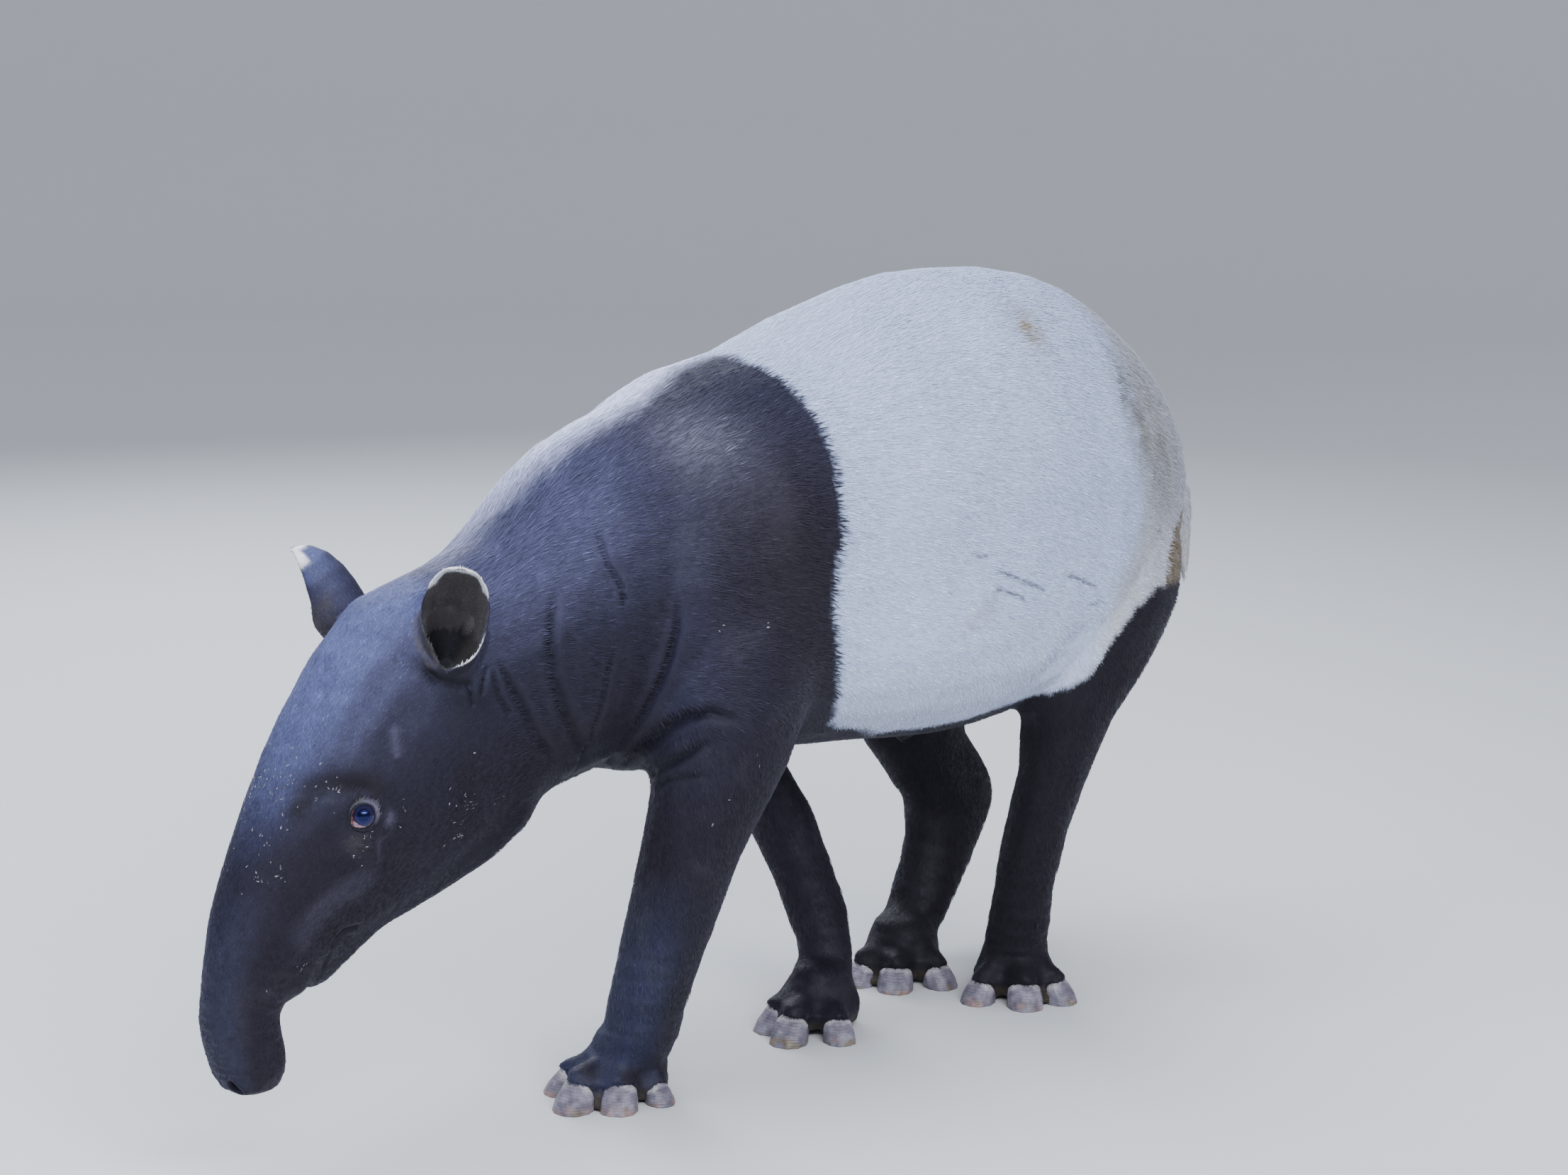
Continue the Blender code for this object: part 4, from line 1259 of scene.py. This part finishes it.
def lie_of_coat(p, n):
    """The way the hair points, along the surface."""
    way = np.zeros((len(p), 3))
    flat = p[:, [0, 2]]
    for a, b in zip(SPINE, SPINE[1:]):
        length = np.linalg.norm(b - a)
        t = np.clip((flat - a) @ (b - a) / length**2, 0, 1)
        d = np.linalg.norm(flat - a - t[:, None] * (b - a), axis=1)
        share = 1 / (d + 0.02) ** 4
        way += share[:, None] * np.array([(b - a)[0], 0, (b - a)[1]]) / length
    way = unit(way)
    sides = np.abs(n[:, 1])
    trunk = (1 - head_weight(p)) * (1 - step(0.8, 0.84, p[:, 0]))
    way[:, 2] -= 0.38 * sides * trunk
    down = np.array([0.18, 0.0, -1.0])
    way = way + (down - way) * (leg_weight(p) * 0.93)[:, None]
    for name in EARS:
        share, _, height, _ = ear_place(p, name)
        on = step(0.0, 0.1, share) * (share < 1.1) * (np.abs(height) < 0.012)
        way = way + (ear_frame(name)[1] - way) * on[:, None]
    wave = np.c_[noise(p, 0.08, 51), noise(p, 0.08, 52), noise(p, 0.08, 53)] * 0.13
    way = way + wave
    return unit(way - n * (way * n).sum(1)[:, None])


def sampled_roots(mesh, before, count):
    """Places on the skin, more where tufts are small, and the normals before and after creasing."""
    points, triangles = points_of(mesh), triangles_of(mesh)
    normals = normals_of(mesh)
    a, b, c = (points[triangles[:, k]] for k in range(3))
    area = np.linalg.norm(np.cross(b - a, c - a), axis=1) / 2
    middle = (a + b + c) / 3
    share = area * tuft_sizes(middle)[:, 3]
    left = mirrored(middle)
    place = lid_place(left)
    bare = (place[4] < BARE_LID) & (place[5] > 0) & near_eye(left, 0.03)
    bare |= in_ear_hollow(middle, EARS[0]) | in_ear_hollow(middle, EARS[1])
    sole = middle[:, 2] < SOLE_HEIGHT
    share = share * ~bare * ~sole * ~hidden_by_hooves(middle)
    order = np.lexsort((middle[:, 2], np.floor(middle[:, 1] / 0.02), np.floor(middle[:, 0] / 0.02)))
    total = np.cumsum(share[order])
    rng = np.random.default_rng(7)
    picks = (np.arange(count) + rng.random(count)) / count * total[-1]
    face = order[np.searchsorted(total, picks)]
    u, v = rng.random(count), rng.random(count)
    flip = u + v > 1
    u, v = np.where(flip, 1 - u, u), np.where(flip, 1 - v, v)
    corners = triangles[face]
    shares = np.stack([1 - u - v, u, v], 1)[:, :, None]
    spot, after, smooth = ((values[corners] * shares).sum(1) for values in (points, normals, before))
    return spot, unit(smooth), unit(after), rng


def hidden_by_hooves(p):
    hidden = np.zeros(len(p), bool)
    for name in HOOVES:
        low, high = box_of(name)
        middle, half = (low + high) / 2, (high - low) / 2
        inside = (((p - middle) / (half * 0.93)) ** 2)[:, :2].sum(1) < 1
        hidden |= inside & (p[:, 2] < high[2] * 0.8)
    return hidden


# The unwrap that tufts take their map places from: each solid's own cylinder, side by side.
def charts():
    """For each flesh node and ear, its middle, axis directions and its patch of the map."""
    found = []
    for name in FLESH + EARS:
        points = points_of(NODES[name].data)
        middle = points.mean(0)
        spread = np.linalg.eigh(np.cov((points - middle).T))[1]
        axis, side = spread[:, 2], spread[:, 1]
        third = np.cross(axis, side)
        rel = points - middle
        radius = np.hypot(rel @ side, rel @ third).mean()
        ends = rel @ axis
        found.append([name, middle, axis, side, third, ends.min(), np.ptp(ends), 2 * pi * radius])
    return found


def packed(found):
    """Rows of rectangles in the unit square, tallest first, and the scale that fits them."""
    order = sorted(range(len(found)), key=lambda i: -found[i][7])
    for scale in np.linspace(0.9, 0.2, 71):
        x = y = row = 0.0
        places = {}
        for i in order:
            wide, high = found[i][6] * scale + 0.01, found[i][7] * scale + 0.01
            if x + wide > 1:
                x, y, row = 0.0, y + row, 0.0
            places[i] = (x + 0.005, y + 0.005)
            x, row = x + wide, max(row, high)
        if y + row <= 1:
            return scale, places
    return scale, places


def map_places(p):
    """Where points are on the unwrap, from the nearest solid's cylinder."""
    found = charts()
    scale, places = packed(found)
    best = np.full(len(p), 1e9)
    uv = np.zeros((len(p), 2))
    for i, (name, middle, axis, side, third, low, length, round_length) in enumerate(found):
        points = points_of(NODES[name].data)
        box_low, box_high = points.min(0), points.max(0)
        away = np.linalg.norm(np.maximum(np.maximum(box_low - p, p - box_high), 0), axis=1)
        rel = p - middle
        radius = np.hypot(rel @ side, rel @ third)
        off = away * 20 + np.abs(radius / (round_length / 2 / pi) - 1) * 0.2
        nearer = off < best
        u = np.clip((rel @ axis - low) / length, 0, 1) * length * scale
        v = (np.arctan2(rel @ third, rel @ side) / (2 * pi) + 0.5) * round_length * scale
        uv[nearer] = np.c_[u, v][nearer] + places[i]
        best = np.minimum(best, off)
    return np.clip(uv, 0.002, 0.998)


PATCH = 0.003
PATCH_CORNERS = rows(2, 0, -0.5,  -0.5, 0,  0.5, 0,  0.1, 0.1,  0, 0.5) * PATCH
TUFT_FACES = np.array([(0, 3, 1), (0, 2, 3), (0, 1, 2), (4, 1, 3), (4, 3, 2), (4, 2, 1)])


def coat_pieces(skin, before):
    """Every tuft of the coat, in pieces by where they are on the body."""
    count = TUFT_COUNT
    spots, normals, after, rng = sampled_roots(skin.data, before, count)
    way = lie_of_coat(spots, normals)
    sizes = tuft_sizes(spots)
    flecks = fleck_chance(spots) > rng.random(count)
    turn = rng.normal(0, 0.13, count) * np.where(flecks, 6, 1)
    side = np.cross(normals, way)
    way = unit(way * np.cos(turn)[:, None] + side * np.sin(turn)[:, None])
    side = np.cross(normals, way)
    length = sizes[:, 0] * rng.uniform(0.75, 1.2, count)
    length = np.where(flecks, FLECK_LENGTH * rng.uniform(0.4, 1.3, count), length)
    width = sizes[:, 1] * rng.uniform(0.75, 1.25, count)
    width = width * np.where(flecks, rng.uniform(0.7, 2.0, count), 1.0)
    lift = sizes[:, 2] * rng.uniform(0.4, 1.3, count)
    half = side * (width / 2)[:, None]
    middle = spots + way * (length * 0.42)[:, None] + normals * (lift * 0.55)[:, None]
    root = spots - way * (length * 0.06)[:, None] - normals * ROOT_DEPTH
    tip = spots + way * length[:, None] + normals * lift[:, None]
    ridge = middle + normals * TUFT_THICKNESS
    corners = np.stack([root, middle + half, middle - half, ridge, tip], 1)
    corners[:, :, 2] = np.maximum(corners[:, :, 2], TUFT_CLEARANCE)
    leans = (-way, side, -side, 0 * way, way / 2)
    shading = np.stack([after + lean * HAIR_ROUND for lean in leans], 1)
    colour = coat_colour(spots, normals)
    bright = np.exp(rng.normal(0, 1, count) * (0.26 - 0.12 * saddle_weight(spots)))
    colour = colour * bright[:, None]
    colour[flecks] = PALE_FLECK * rng.uniform(0.1, 1.2, flecks.sum())[:, None]
    # Painted shade at each tuft's root and painted light at its tip.
    shade = np.array([0.86, 1.0, 1.0, 1.0, 1.08])
    colours = np.clip(colour[:, None, :] * shade[None, :, None], 0, 1)
    uv = map_places(spots)[:, None, :] + PATCH_CORNERS
    pieces = []
    group = piece_names(spots)
    for name in sorted(set(group)):
        chosen = np.flatnonzero(group == name)
        for part, start in enumerate(range(0, len(chosen), PIECE_TUFTS)):
            some = chosen[start : start + PIECE_TUFTS]
            parts = (corners[some], unit(shading[some]), colours[some], uv[some])
            pieces.append(tuft_object(f"coat_{name}_{part + 1}", *parts))
    return pieces


# Pale scurf on the left side: middle and reach in millimetres, and chance of a fleck.
FLECK_LENGTH = 0.005
FLECK_PLACES = rows(7,
    -772, -17, 503, 26, 40, 26, 0.6,
    -752, -10, 545, 16, 30, 20, 0.3,
    -807, -39, 402, 16, 28, 22, 0.5,
    -795, -35, 450, 18, 28, 30, 0.22,
    -704, -86, 438, 14, 20, 13, 1.0,
    -690, -86, 418, 12, 20, 12, 0.6,
    -725, -73, 500, 12, 20, 12, 0.7,
    -538, -97, 454, 26, 30, 16, 0.55,
    -555, -88, 417, 10, 30, 10, 1.0,
    -560, -100, 490, 40, 30, 34, 0.06,
    -640, -95, 470, 20, 30, 20, 0.1,
    -760, -49, 285, 7, 20, 5, 0.6,
    -811, -49, 271, 7, 20, 6, 0.4,
    -253, -194, 406, 16, 30, 8, 0.5,
    -270, -160, 330, 30, 50, 60, 0.02,
    -226, -197, 650, 5, 20, 5, 0.8,
    -163, -223, 643, 12, 20, 6, 0.3,
    -183, -227, 490, 8, 20, 12, 0.4,
)


def fleck_chance(p):
    """Chance that a tuft is a pale fleck."""
    left = mirrored(p)
    chance = 0.0003 + 0 * p[:, 0]
    for fleck in FLECK_PLACES:
        chance += fleck[6] * blob(left, fleck[:3] / 1000, fleck[3:6] / 1000)
    clumps = step(0.02, 0.4, noise(p, 0.0045, 61))
    return chance * clumps * (saddle_weight(p) < 0.5)


def piece_names(p):
    x, y, z = p.T
    names = np.full(len(p), "trunk_left", dtype=object)
    names[y > 0] = "trunk_right"
    names[x < -0.1] = "shoulders"
    names[x < -0.34] = "neck"
    legs = (z < 0.45) & (x > -0.45)
    names[legs & (x < 0.29)] = "forelegs"
    names[legs & (x >= 0.29)] = "hindlegs"
    names[head_weight(p) > 0.5] = "head"
    names[tail_weight(p) > 0.5] = "tail"
    names[ear_weight(p) > 0.5] = "ears"
    return names


def tuft_object(name, corners, shading, colours, uv):
    count = len(corners)
    mesh = bpy.data.meshes.new(name)
    faces = (TUFT_FACES[None] + 5 * np.arange(count)[:, None, None]).reshape(-1, 3)
    mesh.vertices.add(count * 5)
    write(mesh.vertices, "co", corners)
    mesh.loops.add(faces.size)
    write(mesh.loops, "vertex_index", faces, np.int32)
    mesh.polygons.add(len(faces))
    write(mesh.polygons, "loop_start", np.arange(0, faces.size, 3), np.int32)
    mesh.update(calc_edges=True)
    mesh.shade_smooth()
    mesh.normals_split_custom_set_from_vertices(shading.reshape(-1, 3).astype(np.float32))
    paint_points(mesh, colours.reshape(-1, 3))
    layer = mesh.uv_layers.new(name="OFBake")
    write(layer.data, "uv", uv.reshape(-1, 2)[faces.ravel()])
    return new_object(name, mesh)


def paint_points(mesh, colours):
    layer = mesh.color_attributes.new("Coat", "FLOAT_COLOR", "POINT")
    write(layer.data, "color", np.c_[colours, np.ones(len(colours))])


def painted_object(name, mesh, colours, material):
    """A smooth shaded object with painted points and a material."""
    mesh.shade_smooth()
    paint_points(mesh, colours)
    mesh.materials.append(material)
    return new_object(name, mesh)


def new_material(name):
    material = bpy.data.materials.new(name)
    material.use_nodes = True
    tree = material.node_tree
    return material, tree, tree.nodes["Principled BSDF"]


def node(tree, kind, **values):
    made = tree.nodes.new(kind)
    for name, value in values.items():
        if name in made.inputs:
            made.inputs[name].default_value = value
        else:
            setattr(made, name, value)
    return made


def set_inputs(shader, values):
    """Plain values set straight on a shader."""
    for name, value in values.items():
        shader.inputs[name].default_value = value


def place_nodes(tree):
    return tree.nodes.new("ShaderNodeTexCoord").outputs["Object"]


def noise_node(tree, scale, detail=3.0):
    made = node(tree, "ShaderNodeTexNoise", Scale=scale, Detail=detail)
    tree.links.new(place_nodes(tree), made.inputs["Vector"])
    return made.outputs["Fac"]


def bump(tree, shader, height, distance, strength=1.0):
    made = node(tree, "ShaderNodeBump", Distance=distance, Strength=strength)
    tree.links.new(height, made.inputs["Height"])
    tree.links.new(made.outputs["Normal"], shader.inputs["Normal"])


def ramp(tree, source, low, high, first, last):
    made = tree.nodes.new("ShaderNodeMapRange")
    tree.links.new(source, made.inputs["Value"])
    set_inputs(made, {"From Min": low, "From Max": high, "To Min": first, "To Max": last})
    return made.outputs["Result"]


def times(tree, colour, factor):
    """A colour output multiplied by a number output."""
    made = tree.nodes.new("ShaderNodeVectorMath")
    made.operation = "SCALE"
    tree.links.new(colour, made.inputs[0])
    tree.links.new(factor, made.inputs["Scale"])
    return made.outputs[0]


def painted(tree):
    """The colours painted on the points."""
    return node(tree, "ShaderNodeAttribute", attribute_name="Coat").outputs["Color"]


def hair_material(name, fine, dark, light, patches, low, high, sheen):
    """Painted colours with a fine grain, and patches of roughness: noise scales and ranges."""
    material, tree, shader = new_material(name)
    colour = painted(tree)
    grain = ramp(tree, noise_node(tree, *fine), 0.3, 0.7, dark, light)
    tree.links.new(times(tree, colour, grain), shader.inputs["Base Color"])
    tree.links.new(ramp(tree, noise_node(tree, patches), 0.3, 0.7, low, high), shader.inputs["Roughness"])
    set_inputs(
        shader,
        {
            "Specular IOR Level": 0.26,
            "Sheen Weight": sheen,
            "Sheen Roughness": 0.45,
            "Sheen Tint": (0.7, 0.72, 1.0, 1.0),
            "Specular Tint": (0.84, 0.83, 1.0, 1.0),
        },
    )
    return material, tree, shader


def coat_material():
    return hair_material("coat", (700, 2), 0.84, 1.16, 60, 0.52, 0.66, 0.07)[0]


def skin_material():
    material, tree, shader = hair_material("skin", (380, 4), 0.66, 0.98, 120, 0.55, 0.72, 0.05)
    bump(tree, shader, noise_node(tree, 520, 4), 0.0006, 0.8)
    return material


def horn_material():
    material, tree, shader = new_material("hoof_horn")
    colour = painted(tree)
    rings = node(tree, "ShaderNodeTexWave", Scale=90.0, Distortion=3.0, Detail=2.0)
    rings.bands_direction = "Z"
    tree.links.new(place_nodes(tree), rings.inputs["Vector"])
    mottled = times(tree, colour, ramp(tree, noise_node(tree, 140, 5), 0.3, 0.7, 0.72, 1.25))
    streaks = ramp(tree, rings.outputs["Fac"], 0.0, 1.0, 0.88, 1.06)
    tree.links.new(times(tree, mottled, streaks), shader.inputs["Base Color"])
    tree.links.new(ramp(tree, noise_node(tree, 90), 0.3, 0.7, 0.36, 0.58), shader.inputs["Roughness"])
    bump(tree, shader, rings.outputs["Fac"], 0.0004, 0.5)
    set_inputs(shader, {"Specular IOR Level": 0.35})
    return material


HORN_LILAC = rgb(0.225, 0.21, 0.27)
HORN_DARK = rgb(0.095, 0.085, 0.115)
HORN_OLIVE = rgb(0.15, 0.12, 0.065)
HORN_PINK = rgb(0.33, 0.19, 0.15)
HORN_PALE = rgb(0.43, 0.41, 0.43)


def horn_colour(p, line):
    """Lilac grey horn, pale where it leaves the skin, and pink and olive at the worn edge."""
    share = p[:, 2] / line
    low = step(0.42, 0.1, share + 0.1 * noise(p, 0.008, 75))
    return layered(
        HORN_LILAC + 0 * p,
        (HORN_DARK, 0.5 + 0.5 * noise(p, 0.01, 73)),
        (HORN_PALE, step(0.74, 0.92, share + 0.06 * noise(p, 0.006, 74)) * 0.6),
        (HORN_PINK, low * step(-0.2, 0.6, noise(p, 0.014, 76)) * 0.6),
        (HORN_OLIVE, low * step(0.1, 0.6, noise(p, 0.012, 77)) * 0.7),
    )


def eye_material():
    material, tree, shader = new_material("eyeball")
    fibres = ramp(tree, noise_node(tree, 900, 2), 0.3, 0.7, 0.7, 1.3)
    tree.links.new(times(tree, painted(tree), fibres), shader.inputs["Base Color"])
    tint = (0.17, 0.21, 0.8, 1.0)
    set_inputs(shader, {"Roughness": 0.07, "Specular IOR Level": 1.0, "Specular Tint": tint})
    return material


PUPIL = rgb(0.0015, 0.0015, 0.005)
IRIS = rgb(0.008, 0.007, 0.02)
EYE_WHITE = rgb(0.02, 0.01, 0.012)
# The iris, the pupil and the cornea's rise over the ball.
IRIS_RADIUS = 0.0124
PUPIL_RADIUS = 0.007
CORNEA_RISE = 0.0009


def eyeball(name):
    low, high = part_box(name)
    centre = (low + high) / 2
    side = 1 if centre.y > 0 else -1
    out = Vector(EYE_OUT) * Vector((1, -side, 1))
    bm = bmesh.new()
    turn = out.to_track_quat("Z", "Y").to_matrix().to_4x4()
    place = Matrix.Translation(centre) @ turn
    bmesh.ops.create_uvsphere(bm, u_segments=64, v_segments=48, radius=EYE_RADIUS, matrix=place)
    mesh = bpy.data.meshes.new(name + "_ball")
    bm.to_mesh(mesh)
    bm.free()
    points = points_of(mesh)
    rel = points - np.array(centre)
    height = rel @ np.array(out)
    off = np.linalg.norm(rel - np.outer(height, out), axis=1)
    front = height > 0
    points += np.outer(CORNEA_RISE * front * step(IRIS_RADIUS * 1.1, 0, off), out)
    set_points(mesh, points)
    iris = front * step(PUPIL_RADIUS, PUPIL_RADIUS * 1.15, off)
    edge = np.maximum(step(IRIS_RADIUS, IRIS_RADIUS * 1.12, off), 1 - front)
    colour = layered(PUPIL + 0 * points, (IRIS, iris), (EYE_WHITE, edge))
    return painted_object(name + "_ball", mesh, colour, eye_material())


HOOF_VOXEL = 0.0021
# How far the solid hoof is pushed out before it is joined, and drawn in again afterwards.
HOOF_OVERLAP = 0.0004
HOOF_INSET = 0.0003
# Growth rings: height between them over 2 pi, and their depth.
RING_STEP = 0.0021
RING_DEPTH = 0.00018


def horn_hoof(name, material):
    """A smooth hoof inside the solid one, with growth rings and a worn edge."""
    mesh = voxel_joined(name + "_horn", (name,), HOOF_OVERLAP, HOOF_VOXEL)
    edges = edges_of(mesh)
    points = points_of(mesh)
    points = smoothed(points, edges, 6, weight=step(0.0008, 0.004, points[:, 2]))
    set_points(mesh, points)
    normals = normals_of(mesh)
    height = points[:, 2]
    rings = np.sin(height / RING_STEP + 2.0 * noise(points, 0.012, 71)) * RING_DEPTH
    chips = -0.0007 * step(0.35, 0.8, noise(points, 0.006, 72)) * step(0.006, 0.001, height)
    up = step(0.9, 0.5, np.abs(normals[:, 2]))
    line, _ = coronet_line(name, points)
    dive = HORN_DIVE * step(-0.0015, 0.003, height - line)
    colour = horn_colour(points, np.maximum(line, 0.004))
    points = points + normals * ((rings + chips) * up - HOOF_INSET - dive)[:, None]
    points[:, 2] = np.maximum(points[:, 2], 0.0)
    set_points(mesh, points)
    return painted_object(name + "_horn", mesh, colour, material)


def add_floor():
    """A pale floor that curves up far behind into a wide backdrop."""
    radii = [0, 2, 4, 6, 7.5, 8.7, 9.5, 9.9, 10]
    rises = [0, 0, 0, 0, 0.2, 0.8, 1.9, 3.6, 7]
    sides = 96
    turns = [(cos(2 * pi * k / sides), sin(2 * pi * k / sides)) for k in range(sides)]
    points = [(r * x, r * y, z) for r, z in zip(radii, rises) for x, y in turns]
    steps = [(k, (k + 1) % sides) for k in range(sides)]
    starts = range(0, sides * (len(radii) - 1), sides)
    faces = [(i + k, i + j, i + sides + j, i + sides + k) for i in starts for k, j in steps]
    floor = new_object("floor", mesh_of("floor", points, faces))
    floor.data.shade_smooth()
    material, _, shader = new_material("floor")
    grey = (0.6, 0.61, 0.63, 1)
    set_inputs(shader, {"Base Color": grey, "Roughness": 0.9, "Specular IOR Level": 0.2})
    floor.data.materials.append(material)


# Lights: name, place, size, power, colour, and whether glossy surfaces mirror it.
LIGHTS = (
    ("key", (-1.8, -3.6, 3.4), (7.6, 3.8), 110, (0.94, 0.97, 1.0), True),
    ("strip", (-1.8, -3.6, 3.3), (4.4, 0.8), 210, (0.94, 0.97, 1.0), True),
    ("top", (-0.4, 0.4, 4.6), (4.6, 4.6), 250, (0.88, 0.93, 1.0), False),
    ("side", (-4.4, 0.8, 2.6), (3.0, 3.0), 100, (0.88, 0.93, 1.0), False),
    ("rim", (1.6, 3.8, 3.0), (2.6, 2.6), 150, (0.9, 0.94, 1.0), True),
)
LIT_PLACE = Vector((0.0, 0.0, 0.6))


def add_lights():
    for name, place, size, power, colour, glossy in LIGHTS:
        data = bpy.data.lights.new(name, "AREA")
        data.shape = "ELLIPSE"
        data.size, data.size_y = size
        data.energy = power
        data.color = colour
        light = new_object(name, data)
        light.location = place
        light.rotation_euler = (LIT_PLACE - Vector(place)).to_track_quat("-Z", "Y").to_euler()
        light.visible_glossy = glossy
    world = bpy.data.worlds.new("studio")
    world.use_nodes = True
    sky = (0.8, 0.86, 1.0, 1)
    set_inputs(world.node_tree.nodes["Background"], {"Color": sky, "Strength": 0.5})
    bpy.context.scene.world = world


def main():
    add_camera()
    skin, before = make_skin()
    skin.data.shade_smooth()
    paint_points(skin.data, coat_colour(points_of(skin.data), normals_of(skin.data)))
    skin.data.materials.clear()
    skin.data.materials.append(skin_material())
    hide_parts(*FLESH, *EARS)
    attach(skin, "root")
    coat = coat_material()
    for piece in coat_pieces(skin, before):
        piece.data.materials.append(coat)
        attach(piece, "root")
    horn = horn_material()
    for name in HOOVES:
        hoof = horn_hoof(name, horn)
        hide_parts(name)
        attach(hoof, "root")
    for name in EYES:
        ball = eyeball(name)
        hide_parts(name)
        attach(ball, "root")
    add_floor()
    add_lights()


main()
